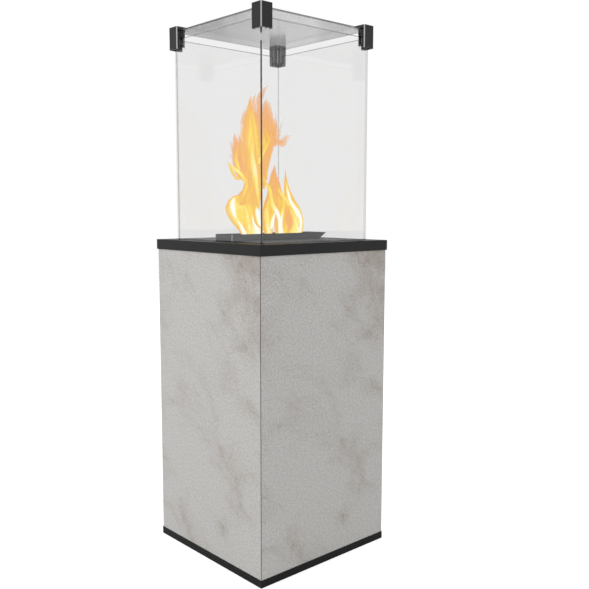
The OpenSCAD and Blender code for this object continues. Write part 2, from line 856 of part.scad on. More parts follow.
module cylinder_shell() {
    inner_r = cyl_r - cyl_wall;
    neck_r = 10;
    arc = 24;
    outside = concat(
        [for (i = [0:arc]) [cyl_r * sin(90 * i / arc), shell_low - dome_h * cos(90 * i / arc)]],
        [for (i = [arc:-1:6]) [cyl_r * sin(90 * i / arc), shell_high + dome_h * cos(90 * i / arc)]],
        [[30, neck_z - 4], [26, neck_z], [neck_r, neck_z]]);
    inside = concat(
        [[neck_r, shell_high + dome(neck_r, inner_r, dome_h - cyl_wall)]],
        [for (i = [1:arc]) let (r = neck_r + (inner_r - neck_r) * sin(90 * i / arc))
            [r, shell_high + dome(r, inner_r, dome_h - cyl_wall)]],
        [for (i = [arc:-1:0])
            [inner_r * sin(90 * i / arc), shell_low - (dome_h - cyl_wall) * cos(90 * i / arc)]]);
    color("#4f6e8c") rotate_extrude() polygon(concat(outside, inside));
}

module cylinder_ring() {
    r = ring_r;
    color("#4f6e8c") difference() {
        rotate_extrude() polygon([[r - 3, floor_z], [r + ring_bead, floor_z], [r + ring_bead, floor_z + 4],
            [r, floor_z + 6],
            [r, shell_low - dome(r, cyl_r, dome_h) - fit],
            [r - 3, shell_low - dome(r - 3, cyl_r, dome_h) - fit]]);
        for (a = [0, 90]) rotate([0, 0, a]) translate([0, 0, floor_z + 24])
            cube([2 * cyl_d, 50, 12], center = true);
    }
}

module cylinder_collar() {
    r = collar_r;
    gap = 52;
    color("#4f6e8c") difference() {
        rotate([0, 0, gap]) rotate_extrude(angle = 360 - 2 * gap) polygon([
            [r, shell_high + dome(r, cyl_r, dome_h) + fit],
            [r + 3, shell_high + dome(r + 3, cyl_r, dome_h) + fit],
            [r + 3, collar_top - 4], [r + 5, collar_top - 2], [r + 3, collar_top], [r, collar_top]]);
        // hand holes
        for (a = [110, 250]) rotate([0, 0, a]) translate([r, 0, collar_top - 34])
            cube([40, 76, 26], center = true);
    }
}

module cylinder_valve() {
    color("#c9a24a") difference() {
        union() {
            translate([0, 0, neck_z - 18]) cylinder(r = 10 - fit, h = 20);
            translate([0, 0, neck_z]) cylinder(r = 17, h = 9, $fn = 6);
            translate([0, 0, neck_z + 8]) cylinder(r = 14, h = 40);
            translate([0, 0, neck_z + 46]) cylinder(r = 11, h = 9, $fn = 6);
            translate([0, 0, neck_z + 50]) cylinder(r = 4, h = 26);
            translate([0, 0, outlet_z]) rotate([0, 90, 0]) cylinder(r = 11, h = 36);
            translate([0, 0, outlet_z]) rotate([0, -90, 0]) cylinder(r = 6, h = 20);
        }
        translate([20, 0, outlet_z]) rotate([0, 90, 0]) cylinder(r = 4, h = 17);
    }
}

module cylinder_handwheel() {
    r = wheel_d / 2;
    color("#a3302a") translate([0, 0, wheel_z]) difference() {
        rotate_extrude() polygon([[0, 0], [10, 0], [10, 5], [r - 7, 5], [r - 6, 3], [r - 1, 3],
            [r, 5], [r, 13], [r - 2, 15], [r - 6, 15], [r - 8, 12], [10, 12], [10, 18], [0, 18]]);
        translate([0, 0, -1]) cylinder(r = 4 + running, h = 20);
        for (i = [0:7]) rotate([0, 0, (i + 0.5) * 45]) translate([r + 3, 0, -1]) cylinder(r = 6, h = 20);
    }
}

regulator_x = 86;
hose_start = 140;
hose_r = 7.5;

module regulator() {
    color("#8c8f92") difference() {
        union() {
            translate([38, 0, outlet_z]) rotate([0, 90, 0]) cylinder(r = 8, h = 40);
            translate([36, 0, outlet_z]) rotate([0, 90, 0]) cylinder(r = 16, h = 16, $fn = 6);
            translate([regulator_x, 0, outlet_z - 13]) rotate_extrude()
                polygon([[0, 0], [22, 0], [24, 6], [34, 8], [34, 15], [30, 17], [24, 23], [14, 26], [0, 26]]);
            translate([regulator_x + 20, 0, outlet_z]) rotate([0, 90, 0]) cylinder(r = 7, h = 22);
            translate([hose_start - 14, 0, outlet_z]) rotate([0, 90, 0]) cylinder(r = 11, h = 14, $fn = 6);
        }
        // breather hole in the cover
        translate([regulator_x + 18, 0, outlet_z + 7]) cube([2, 2, 20], center = true);
    }
}

hose_end = valve_w / 2 + 17;

module gas_hose() {
    z0 = outlet_z;
    z1 = valve_z + 20;
    x = clad_in - 16;
    y = port_y;
    mid = (z0 + z1) / 2;
    turn = x - hose_start - 21;
    color("#d9862b") bent_tube([[hose_start, 0, z0], [hose_start + 15, 0, z0], [x - turn, 0, z0],
        [x - turn * 0.62, 0, z0 + 5], [x - turn * 0.3, 0, z0 + 18], [x - 5, 0, z0 + 37],
        [x, 0, z0 + 60], [x, y * 0.16, mid - 36], [x, y * 0.5, mid], [x, y * 0.84, mid + 36],
        [x, y, z1 - 60], [x - 5, y, z1 - 37], [x - turn * 0.3, y, z1 - 18],
        [x - turn * 0.62, y, z1 - 5], [x - turn, y, z1], [hose_end + 60, y, z1],
        [hose_end + 15, y, z1], [hose_end, y, z1]], hose_r, 12, 2);
}

module hose_ferrules() {
    color("#c9cbcd") {
        translate([hose_start, 0, outlet_z]) rotate([0, 90, 0]) ring(hose_r + 2, hose_r + 0.5, 14);
        translate([hose_end, port_y, valve_z + 20]) rotate([0, 90, 0]) ring(hose_r + 2, hose_r + 0.5, 14);
    }
}

stop_w = 36;
stop_h = 20;
stop_t = 2;
stop_foot = 26;

// three angles on the floor keep the cylinder's foot ring in place
module cylinder_stops() {
    inner = ring_r + ring_bead + fit;
    w = stop_w / 2;
    color("#303234") for (a = [30, 150, 270]) rotate([0, 0, a]) {
        box([inner, -w, floor_z], [inner + stop_t, w, floor_z + stop_h]);
        box([inner, -w, floor_z], [inner + stop_foot, w, floor_z + stop_t]);
    }
}

// Door, at the back

finger_x = door_right - 49;

module door_panel() {
    color("#b9b5b0") difference() {
        translate([0, 0, door_low]) linear_extrude(door_high - door_low) polygon([
            [door_left, clad_in], [door_right, clad_in], [door_right, clad_out - arris],
            [door_right - arris, clad_out], [door_left + arris, clad_out],
            [door_left, clad_out - arris]]);
        for (z = hinge_zs) box([door_left - 1, clad_in - 1, z - hinge_h / 2 - 1],
            [door_left + notch_w, clad_out + 1, z + hinge_h / 2 + 1]);
        bar_y(finger_x, finger_z, finger_d / 2, clad_in - 1, clad_out + 1);
    }
}

plate_left = door_left + 24;

module door_plate() {
    color("#303234") difference() {
        box([plate_left + fit, clad_in - door_plate_t, door_low + 14],
            [door_right - 16, clad_in, door_high - 14]);
        bar_y(finger_x, finger_z, finger_d / 2, clad_in - 3, clad_in + 1);
    }
}

module door_rails() {
    w = rail_w / 2;
    wall = 1.5;
    back = clad_in - door_plate_t;
    color("#303234") for (x = [-rail_x, rail_x]) translate([x, back, door_low + 34])
        linear_extrude(door_high - door_low - 68) polygon([[-w, 0], [-w, -rail_deep], [w, -rail_deep],
            [w, 0], [w - wall, 0], [w - wall, wall - rail_deep], [wall - w, wall - rail_deep],
            [wall - w, 0]]);
}

// rolled knuckles: two on the frame's leaf, one between them on the door's leaf
module knuckle(z0, z1, side) {
    leaf = 2;
    difference() {
        union() {
            translate([hinge_x, hinge_y, z0]) cylinder(r = knuckle_r, h = z1 - z0);
            x = side < 0 ? hinge_x - knuckle_r : hinge_x + knuckle_r - leaf;
            box([x, clad_in - (side < 0 ? fit + 1 : 1), z0], [x + leaf, hinge_y, z1]);
        }
        translate([hinge_x, hinge_y, z0 - 1]) cylinder(r = pin_r + running, h = z1 - z0 + 2);
    }
}

module frame_hinges() {
    third = hinge_h / 3;
    color("#5b5e61") for (z = hinge_zs) {
        for (side = [-1, 1]) {
            low = side < 0 ? z - hinge_h / 2 : z + third / 2 + fit;
            high = low + third - fit;
            knuckle(low, high, -1);
            box([hinge_x - knuckle_r, stop_y, low], [hinge_x + 12, clad_in - fit, high]);
        }
        box([hinge_x - knuckle_r, stop_y, z - hinge_h / 2], [hinge_x, clad_in - fit, z + hinge_h / 2]);
        translate([hinge_x, hinge_y, z - hinge_h / 2]) cylinder(r = pin_r, h = hinge_h);
        translate([hinge_x, hinge_y, z + hinge_h / 2]) cylinder(r1 = pin_r + 1, r2 = pin_r, h = 0.8);
    }
}

module door_hinges() {
    third = hinge_h / 3;
    color("#5b5e61") for (z = hinge_zs) {
        low = z - third / 2 + fit;
        high = z + third / 2 - fit;
        knuckle(low, high, 1);
        box([hinge_x + 2, clad_in - door_plate_t, low], [plate_left, clad_in, high]);
    }
}

module magnet_catch() {
    right = clad_in - post_leg;
    low = finger_z + 90;
    color("#d8d8d8") difference() {
        box([right - 14, stop_y - 12, low], [right, stop_y, low + 50]);
        box([right - 10, stop_y - 1.5, low + 8], [right - 4, stop_y + 1, low + 42]);
    }
}

plinth_floor();
plinth_skirt();
rubber_feet();
foot_screws();
corner_posts();
top_rails();
front_panel();
left_panel();
right_panel();
top_tray();
hearth_plate();
glass_channels();
glass_seal();
hearth_beams();
front_glass();
left_glass();
right_glass();
rear_glass();
top_glass();
clamp_front_right();
clamp_front_left();
clamp_rear_right();
clamp_rear_left();
clamp_pads();
clamp_screws();
burner_trough();
burner_deck();
mixing_tube();
injector();
pilot_bracket();
pilot_burner();
igniter_electrode();
thermocouple();
gas_pipe();
pilot_tube();
thermocouple_lead();
igniter_lead();
heat_shield();
control_plate();
control_valve();
main_sleeve();
main_knob();
flame_knob();
piezo_igniter();
igniter_button();
cylinder_shell();
cylinder_ring();
cylinder_collar();
cylinder_valve();
cylinder_handwheel();
regulator();
gas_hose();
hose_ferrules();
cylinder_stops();
door_panel();
door_plate();
door_rails();
frame_hinges();
door_hinges();
magnet_catch();
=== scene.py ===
import math

import bpy
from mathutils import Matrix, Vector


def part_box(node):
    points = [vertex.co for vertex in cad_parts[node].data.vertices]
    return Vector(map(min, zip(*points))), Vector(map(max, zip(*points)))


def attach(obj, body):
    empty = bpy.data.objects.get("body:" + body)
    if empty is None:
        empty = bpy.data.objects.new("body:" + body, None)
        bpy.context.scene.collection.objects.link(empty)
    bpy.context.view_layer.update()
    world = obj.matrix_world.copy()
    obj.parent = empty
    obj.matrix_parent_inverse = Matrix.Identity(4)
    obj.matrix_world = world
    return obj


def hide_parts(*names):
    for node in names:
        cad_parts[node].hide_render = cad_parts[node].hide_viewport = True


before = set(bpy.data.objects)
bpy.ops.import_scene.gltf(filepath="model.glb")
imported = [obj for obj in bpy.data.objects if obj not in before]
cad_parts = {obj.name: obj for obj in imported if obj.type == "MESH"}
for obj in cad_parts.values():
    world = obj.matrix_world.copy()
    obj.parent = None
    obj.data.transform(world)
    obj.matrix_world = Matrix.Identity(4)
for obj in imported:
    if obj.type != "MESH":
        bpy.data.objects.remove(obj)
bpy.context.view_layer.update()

# The camera stands to the right of the front corner, a little above the tray, and looks slightly down.
# Its place and lens were worked out from the heater's own edges at a body width of 500 mm.
camera_place = (1.8043, -1.5319, 1.0447)
camera_yaw = 47.937
camera_pitch = -6.488
camera_roll = -0.097
camera_lens = 47.143
camera_sensor = 36
bpy.ops.object.camera_add(
    location=camera_place,
    rotation=(math.radians(90 + camera_pitch), math.radians(camera_roll), math.radians(camera_yaw)),
)
camera = bpy.context.object
camera.data.sensor_fit = "HORIZONTAL"
camera.data.sensor_width = camera_sensor
camera.data.lens = camera_lens
bpy.context.scene.camera = camera
bpy.context.scene.view_settings.view_transform = "Standard"

# The studio is an even pale room. It lights the heater at a plain level and shows as white behind it,
# in its gloss and through its glass.
room_level = 0.80
white_level = 1.0
pure_white = (1, 1, 1, 1)
world = bpy.data.worlds.new("studio")
bpy.context.scene.world = world
world.use_nodes = True


def seen_directly(nodes, link):
    """1 for what the camera, a gloss or a pane looks at, 0 for what only lights the object"""
    path = nodes.new("ShaderNodeLightPath")
    seen = path.outputs["Is Camera Ray"]
    for ray in ("Is Glossy Ray", "Is Transmission Ray"):
        either = nodes.new("ShaderNodeMath")
        either.operation = "MAXIMUM"
        link(seen, either.inputs[0])
        link(path.outputs[ray], either.inputs[1])
        seen = either.outputs[0]
    return seen


room_nodes = world.node_tree.nodes
room_link = world.node_tree.links.new
room_light = room_nodes["Background"]
room_white = room_nodes.new("ShaderNodeBackground")
for light, level in ((room_light, room_level), (room_white, white_level)):
    light.inputs["Color"].default_value = pure_white
    light.inputs["Strength"].default_value = level
room_mix = room_nodes.new("ShaderNodeMixShader")
room_link(seen_directly(room_nodes, room_link), room_mix.inputs["Fac"])
room_link(room_light.outputs[0], room_mix.inputs[1])
room_link(room_white.outputs[0], room_mix.inputs[2])
room_link(room_mix.outputs[0], room_nodes["World Output"].inputs["Surface"])

# Two soft boxes stand at the left front and high on the right. The left one is the stronger, so the
# front of the column comes out a little lighter than its right side. Neither is seen, in gloss or panes
# either, where it would be a bright square.
soft_boxes = [
    ("front_softbox", (-1.4, -3.9, 2.6), (0, 0, 0.75), 2.4, 50),
    ("side_softbox", (3.6, 1.2, 3.4), (0, 0, 1.0), 1.6, 14),
]
for box_name, place, target, width, power in soft_boxes:
    aim = [t - p for t, p in zip(target, place)]
    reach = math.hypot(aim[0], aim[1])
    tilt = math.atan2(reach, -aim[2])
    turn = math.atan2(-aim[0], aim[1])
    bpy.ops.object.light_add(type="AREA", location=place, rotation=(tilt, 0, turn))
    lamp = bpy.context.object
    lamp.name = box_name
    lamp.data.size = width
    lamp.data.energy = power
    lamp.visible_camera = False
    lamp.visible_glossy = False
    lamp.visible_transmission = False

# The floor is a wide plain white disc. It takes a faint contact shadow and sends light back up, and it
# glows only where it is looked at, so that it shows as white as the room.
floor_radius = 9
floor_sides = 96
floor_colour = (0.82, 0.82, 0.82, 1)
floor_roughness = 0.9
floor_glow = 0.62


def new_finish(name):
    """a new material, with its nodes, the call that links them and its shader"""
    material = bpy.data.materials.new(name)
    material.use_nodes = True
    nodes = material.node_tree.nodes
    return material, nodes, material.node_tree.links.new, nodes["Principled BSDF"]


def product(nodes, link, first, second):
    """two values or a value and a number, multiplied"""
    times = nodes.new("ShaderNodeMath")
    times.operation = "MULTIPLY"
    link(first, times.inputs[0])
    if isinstance(second, float):
        times.inputs[1].default_value = second
    else:
        link(second, times.inputs[1])
    return times.outputs[0]


bpy.ops.object.select_all(action="DESELECT")
bpy.ops.mesh.primitive_circle_add(vertices=floor_sides, radius=floor_radius, fill_type="NGON")
floor = bpy.context.object
floor.name = "studio_floor"
floor_paint, floor_nodes, floor_link, floor_shader = new_finish("studio_floor")
floor_shader.inputs["Base Color"].default_value = floor_colour
floor_shader.inputs["Roughness"].default_value = floor_roughness
floor_shader.inputs["Specular IOR Level"].default_value = 0.0
floor_shader.inputs["Emission Color"].default_value = pure_white
floor_link(product(floor_nodes, floor_link, seen_directly(floor_nodes, floor_link), floor_glow),
           floor_shader.inputs["Emission Strength"])
floor.data.materials.append(floor_paint)

# Plinth: a floor plate with vent slots and a skirt of folded sheet steel round it, both welded up and
# coated in matt black powder. Powder leaves a fine pebbled skin that is a little uneven in gloss.
plinth_black = (0.0055, 0.0058, 0.0062)
blotch_scale = 9
blotch_detail = 4
skin_detail = 3
skin_relief = 0.6


def sum_of(nodes, link, first, factor, offset):
    """first times factor plus offset; factor and offset may be sockets or numbers"""
    step = nodes.new("ShaderNodeMath")
    step.operation = "MULTIPLY_ADD"
    link(first, step.inputs[0])
    for value, socket in ((factor, step.inputs[1]), (offset, step.inputs[2])):
        if isinstance(value, float):
            socket.default_value = value
        else:
            link(value, socket)
    return step.outputs[0]


def scaled(nodes, link, colour, factor):
    """a colour made darker or lighter by a factor"""
    scale = nodes.new("ShaderNodeVectorMath")
    scale.operation = "SCALE"
    link(colour, scale.inputs[0])
    link(factor, scale.inputs["Scale"])
    return scale.outputs[0]


def new_effect(name, inputs, outputs):
    """a new node group with these sockets, its nodes, the call that links them and its two ends"""
    group = bpy.data.node_groups.new(name, "ShaderNodeTree")
    for sockets, direction in ((inputs, "INPUT"), (outputs, "OUTPUT")):
        for socket, kind in sockets.items():
            group.interface.new_socket(name=socket, in_out=direction, socket_type=f"NodeSocket{kind}")
    nodes = group.nodes
    return group, nodes, group.links.new, nodes.new("NodeGroupInput"), nodes.new("NodeGroupOutput")


def lay_effect(nodes, group):
    """a shared effect, placed among a finish's own nodes"""
    effect = nodes.new("ShaderNodeGroup")
    effect.node_tree = group
    return effect


def grain_effect():
    """a fine pebbled or brushed skin over slow blotches"""
    inputs = {"Vector": "Vector", "Colour": "Color", "Fineness": "Float", "Colour Change": "Float",
              "Roughness": "Float", "Gloss Change": "Float"}
    outputs = {"Colour": "Color", "Roughness": "Float", "Height": "Float"}
    group, nodes, link, source, result = new_effect("grain", inputs, outputs)
    skin = nodes.new("ShaderNodeTexNoise")
    skin.inputs["Detail"].default_value = skin_detail
    link(source.outputs["Vector"], skin.inputs["Vector"])
    link(source.outputs["Fineness"], skin.inputs["Scale"])
    blotch = nodes.new("ShaderNodeTexNoise")
    blotch.inputs["Scale"].default_value = blotch_scale
    blotch.inputs["Detail"].default_value = blotch_detail
    link(source.outputs["Vector"], blotch.inputs["Vector"])
    # each pattern swings about a half, so their sum less 1 swings about nothing
    both = sum_of(nodes, link, skin.outputs["Fac"], 1.0, blotch.outputs["Fac"])
    swing = sum_of(nodes, link, both, 1.0, -1.0)
    shade = sum_of(nodes, link, swing, source.outputs["Colour Change"], 1.0)
    gloss = sum_of(nodes, link, swing, source.outputs["Gloss Change"], source.outputs["Roughness"])
    link(scaled(nodes, link, source.outputs["Colour"], shade), result.inputs["Colour"])
    link(gloss, result.inputs["Roughness"])
    link(skin.outputs["Fac"], result.inputs["Height"])
    return group


grain = grain_effect()


def coat(name, colour, roughness, fineness=900, change=0.25, gloss=0.12, relief=0.00004, metallic=0.0,
         specular=0.5, stretch=(1, 1, 1)):
    """a finish whose colour, gloss and relief come from the grain"""
    material, nodes, link, shader = new_finish(name)
    shader.inputs["Metallic"].default_value = metallic
    shader.inputs["Specular IOR Level"].default_value = specular
    place = nodes.new("ShaderNodeTexCoord")
    lay = nodes.new("ShaderNodeMapping")
    lay.inputs["Scale"].default_value = stretch
    link(place.outputs["Object"], lay.inputs["Vector"])
    effect = lay_effect(nodes, grain)
    effect.inputs["Colour"].default_value = (*colour, 1)
    effect.inputs["Fineness"].default_value = fineness
    effect.inputs["Colour Change"].default_value = change
    effect.inputs["Roughness"].default_value = roughness
    effect.inputs["Gloss Change"].default_value = gloss
    link(lay.outputs[0], effect.inputs["Vector"])
    link(effect.outputs["Colour"], shader.inputs["Base Color"])
    link(effect.outputs["Roughness"], shader.inputs["Roughness"])
    bump = nodes.new("ShaderNodeBump")
    bump.inputs["Distance"].default_value = relief
    bump.inputs["Strength"].default_value = skin_relief
    link(effect.outputs["Height"], bump.inputs["Height"])
    link(bump.outputs[0], shader.inputs["Normal"])
    return material


def dress(material, *nodes):
    """gives CAD nodes their finish"""
    for node in nodes:
        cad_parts[node].material_slots[0].material = material


dress(coat("plinth_coat", plinth_black, 0.55, specular=0.1), "plinth_floor", "plinth_skirt")

# Feet: four moulded rubber pads with bevelled rims, each held up into the floor plate by a zinc-plated
# countersunk screw with a hexagon socket.
rubber_black = (0.016, 0.016, 0.017)
zinc = (0.50, 0.51, 0.53)
rubber = coat("foot_rubber", rubber_black, 0.78, fineness=500, change=0.4, relief=0.0001)
zinc_plate = coat("zinc_plate", zinc, 0.34, fineness=300, change=0.2, gloss=0.2, metallic=1.0)
dress(rubber, "rubber_feet")
dress(zinc_plate, "foot_screws")

# Frame: corner posts, top rails, hearth beams and cylinder stops are folded and welded from 2 mm steel
# sheet, coated in the same dark powder as the plinth but rougher inside, where nobody looks.
frame_grey = (0.022, 0.023, 0.025)
frame_coat = coat("frame_coat", frame_grey, 0.6, fineness=700, change=0.3, specular=0.35)
dress(frame_coat, "corner_posts", "top_rails", "hearth_beams", "cylinder_stops", "glass_channels")

# Cladding: four boards with a pale concrete face, mitred at the front corners and bonded to the posts.
# The face is cloudy grey with warm brownish patches, short veins and a fine plaster grain.
stone_pale = (0.520, 0.510, 0.495, 1)
stone_warm = (0.405, 0.368, 0.338, 1)
stone_brown = (0.290, 0.232, 0.190, 1)
core_grey = (0.115, 0.110, 0.105, 1)
board_pitch = 0.494
cloud_scale = 7.0
patch_scale = 22
freckle_scale = 130
plaster_scale = 170
plaster_relief = 0.0009
plaster_shade = (0.76, 1.24)
plaster_roughness = (0.62, 0.85)
# where each pattern starts to show and where it is full, and how strongly it then colours the face
cloud_edges = (0.45, 0.76)
patch_edges = (0.46, 0.70)
freckle_edges = (0.52, 0.70)
cloud_strength = 0.62
patch_strength = 0.62
freckle_strength = 0.34
# the clouds are longer across than up, drift down to the right and gather towards the upper right
cloud_turn = math.radians(31)
cloud_stretch = (0.68, 1.0, 1.0)
cloud_start = (0.37, 0.21, 0)
upper_from = 0.98
upper_to = 1.30
upper_gain = 0.20
# the boards' dark core starts this far from the middle planes
core_from = 0.2454
core_to = 0.2459


def ramp(nodes, link, source, low, high):
    """0 below low and 1 above high, with a soft step between"""
    step = nodes.new("ShaderNodeMapRange")
    step.interpolation_type = "SMOOTHSTEP"
    step.inputs["From Min"].default_value = low
    step.inputs["From Max"].default_value = high
    link(source, step.inputs["Value"])
    return step.outputs["Result"]


def spread(nodes, link, source, low, high, start=0.0, stop=1.0):
    """a value that runs from start to stop, laid out from low to high"""
    lay = nodes.new("ShaderNodeMapRange")
    lay.inputs["From Min"].default_value = start
    lay.inputs["From Max"].default_value = stop
    lay.inputs["To Min"].default_value = low
    lay.inputs["To Max"].default_value = high
    link(source, lay.inputs["Value"])
    return lay.outputs["Result"]


def noise(nodes, link, vector, scale, detail, distortion=0.0):
    """a cloud pattern of the given scale"""
    cloud = nodes.new("ShaderNodeTexNoise")
    cloud.inputs["Scale"].default_value = scale
    cloud.inputs["Detail"].default_value = detail
    cloud.inputs["Roughness"].default_value = 0.62
    cloud.inputs["Distortion"].default_value = distortion
    link(vector, cloud.inputs["Vector"])
    return cloud.outputs["Fac"]


def blend_colour(nodes, link, factor, first, second):
    """first where the factor is 0, second where it is 1"""
    mix = nodes.new("ShaderNodeMix")
    mix.data_type = "RGBA"
    link(factor, mix.inputs["Factor"])
    for value, socket in ((first, mix.inputs["A"]), (second, mix.inputs["B"])):
        if isinstance(value, tuple):
            socket.default_value = value
        else:
            link(value, socket)
    return mix.outputs["Result"]


def from_middle(nodes, link, vector, choice):
    """the smaller or larger of a point's distances from the heater's two upright middle planes"""
    away = nodes.new("ShaderNodeVectorMath")
    away.operation = "ABSOLUTE"
    link(vector, away.inputs[0])
    sides = nodes.new("ShaderNodeSeparateXYZ")
    link(away.outputs[0], sides.inputs[0])
    pick = nodes.new("ShaderNodeMath")
    pick.operation = choice
    link(sides.outputs["X"], pick.inputs[0])
    link(sides.outputs["Y"], pick.inputs[1])
    return pick.outputs[0]


def cloud_lay(nodes, link, across, height):
    """a face's own plane, turned and stretched as its clouds are"""
    sheet = nodes.new("ShaderNodeCombineXYZ")
    link(across, sheet.inputs["X"])
    link(height, sheet.inputs["Y"])
    drift = nodes.new("ShaderNodeMapping")
    drift.inputs["Rotation"].default_value = (0, 0, cloud_turn)
    link(sheet.outputs[0], drift.inputs["Vector"])
    stretched = nodes.new("ShaderNodeMapping")
    stretched.inputs["Scale"].default_value = cloud_stretch
    stretched.inputs["Location"].default_value = cloud_start
    link(drift.outputs[0], stretched.inputs["Vector"])
    return stretched.outputs[0]


def stone_face():
    """the concrete-look face of the boards, with its darker core showing at the corner joints"""
    material, nodes, link, shader = new_finish("stone_face")
    place = nodes.new("ShaderNodeTexCoord")
    point = place.outputs["Object"]
    axes = nodes.new("ShaderNodeSeparateXYZ")
    link(point, axes.inputs[0])
    height = axes.outputs["Z"]
    # x + y runs along every face, and wraps at each corner, so all four boards carry one print
    wrapped = nodes.new("ShaderNodeMath")
    wrapped.operation = "WRAP"
    wrapped.inputs[1].default_value = board_pitch
    wrapped.inputs[2].default_value = 0.0
    link(sum_of(nodes, link, axes.outputs["X"], 1.0, axes.outputs["Y"]), wrapped.inputs[0])
    across = wrapped.outputs[0]
    vector = cloud_lay(nodes, link, across, height)
    upper = ramp(nodes, link, sum_of(nodes, link, across, 1.0, height), upper_from, upper_to)
    clouds = sum_of(nodes, link, upper, upper_gain, noise(nodes, link, vector, cloud_scale, 5, 0.5))
    clouds = ramp(nodes, link, clouds, *cloud_edges)
    patches = ramp(nodes, link, noise(nodes, link, vector, patch_scale, 8, 1.0), *patch_edges)
    freckles = ramp(nodes, link, noise(nodes, link, point, freckle_scale, 4), *freckle_edges)
    plaster = noise(nodes, link, point, plaster_scale, 4)
    warmed = product(nodes, link, clouds, cloud_strength)
    colour = blend_colour(nodes, link, warmed, stone_pale, stone_warm)
    for marks, strength in ((patches, patch_strength), (freckles, freckle_strength)):
        stained = product(nodes, link, product(nodes, link, marks, clouds), strength)
        colour = blend_colour(nodes, link, stained, colour, stone_brown)
    grained = scaled(nodes, link, colour, spread(nodes, link, plaster, *plaster_shade, 0.25, 0.75))
    core = ramp(nodes, link, from_middle(nodes, link, point, "MINIMUM"), core_from, core_to)
    link(blend_colour(nodes, link, core, grained, core_grey), shader.inputs["Base Color"])
    shader.inputs["Specular IOR Level"].default_value = 0.25
    link(spread(nodes, link, plaster, *plaster_roughness), shader.inputs["Roughness"])
    bump = nodes.new("ShaderNodeBump")
    bump.inputs["Strength"].default_value = 0.5
    bump.inputs["Distance"].default_value = plaster_relief
    link(plaster, bump.inputs["Height"])
    link(bump.outputs[0], shader.inputs["Normal"])
    return material


dress(stone_face(), "front_panel", "left_panel", "right_panel", "door_panel")

# Tray and hearth: one folded tray of 3 mm steel with a bevelled rim, and a loose plate inside the glass.
# Both have a smoother satin black coat than the plinth, which catches long streaks of light when low.
tray_black = (0.0255, 0.0255, 0.0257)
tray_coat = coat("tray_coat", tray_black, 0.42, fineness=1100, change=0.3, gloss=0.3, specular=0.06)
dress(tray_coat, "top_tray", "hearth_plate")

# Glass seal: black silicone run into the channels round the foot of each pane, tooled level with the
# tray and cured to a soft satin skin.
silicone_black = (0.012, 0.012, 0.012)
dress(coat("glass_silicone", silicone_black, 0.45, fineness=400, change=0.2), "glass_seal")

# Glass: four toughened panes butted at the corners and a smoked plate over them. The panes' polished
# cuts are painted darker than the faces, painted shade set pane by pane, darkest at the near corner, and
# the top rims are ground to a fine matt line. The front and right panes carry a darker tint than the
# left and rear as painted shade, and the smoked plate carries painted bands of shade and reflection.
# the front and right panes take a darker tint than the left and rear panes of the same glass: painted
# shade
shaded_front_tint = (0.860, 0.860, 0.858, 1)
rear_tint = (0.935, 0.935, 0.933, 1)
# the panes' cut tints are painted shade, set pane by pane and corner by corner rather than by the glass
shaded_dark_cut = (0.0008, 0.0009, 0.0009, 1)
shaded_grey_cut = (0.46, 0.46, 0.46, 1)
shaded_near_cut = (0.47, 0.47, 0.47, 1)
shaded_smoky_cut = (0.30, 0.30, 0.30, 1)
shaded_pale_cut = (0.70, 0.70, 0.70, 1)
plate_cut = (0.12, 0.130, 0.125, 1)
ground_rim = (0.36, 0.362, 0.362, 1)
pane_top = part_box("front_glass")[1][2]
rim_from = pane_top - 0.0020
rim_to = pane_top - 0.0018
# a pane's end faces lie past this distance from the middle, and lean along it by this much
end_from = 0.190
end_to = 0.196
lean_from = 0.5
lean_to = 0.65
# the painted dark line at the near corner breaks off below the clamp for a painted reflection and starts
# again just under it
gap_low = 1.4776
gap_high = 1.4963
gap_blur = 0.0009
# the smoked plate's tint in soft bands of painted shade and painted reflection from its left corner to
# its right, as (place in m, tint)
plate_painted_bands = [
    (-0.150, 0.15), (-0.108, 0.27), (-0.030, 0.33), (0.025, 0.43), (0.125, 0.43), (0.165, 0.30),
]
plate_blue = 0.995
band_axis = (0.669, 0.743, 0)
plate_half = 0.29
polish_index = 1.5
smudge_scale = 30
smudge_haze = 0.012


def along(nodes, link, vector, axis):
    """how far a vector reaches along an axis"""
    part = nodes.new("ShaderNodeVectorMath")
    part.operation = "DOT_PRODUCT"
    link(vector, part.inputs[0])
    if isinstance(axis, tuple):
        part.inputs[1].default_value = axis
    else:
        link(axis, part.inputs[1])
    return part.outputs["Value"]


def size_of(nodes, link, value):
    """a value without its sign"""
    size = nodes.new("ShaderNodeMath")
    size.operation = "ABSOLUTE"
    link(value, size.inputs[0])
    return size.outputs[0]


def end_cut_effect():
    """1 on a pane's end face and arrises that look along the axis, and 0 where its painted dark line
    breaks for a painted reflection
    """
    inputs = {"Vector": "Vector", "Normal": "Vector", "Axis": "Vector", "Gap": "Float"}
    group, nodes, link, source, result = new_effect("end_cut", inputs, {"Mask": "Float"})
    point = source.outputs["Vector"]
    axis = source.outputs["Axis"]
    # a pane is seen from either side, so its normal counts without its sign
    lean = size_of(nodes, link, along(nodes, link, source.outputs["Normal"], axis))
    near_end = ramp(nodes, link, along(nodes, link, point, axis), end_from, end_to)
    mask = product(nodes, link, ramp(nodes, link, lean, lean_from, lean_to), near_end)
    spot = nodes.new("ShaderNodeSeparateXYZ")
    link(point, spot.inputs[0])
    height = spot.outputs["Z"]
    gap_foot = ramp(nodes, link, height, gap_low - gap_blur, gap_low + gap_blur)
    gap_head = ramp(nodes, link, height, gap_high + gap_blur, gap_high - gap_blur)
    gap = product(nodes, link, product(nodes, link, gap_foot, gap_head), source.outputs["Gap"])
    link(product(nodes, link, mask, sum_of(nodes, link, gap, -1.0, 1.0)), result.inputs["Mask"])
    return group


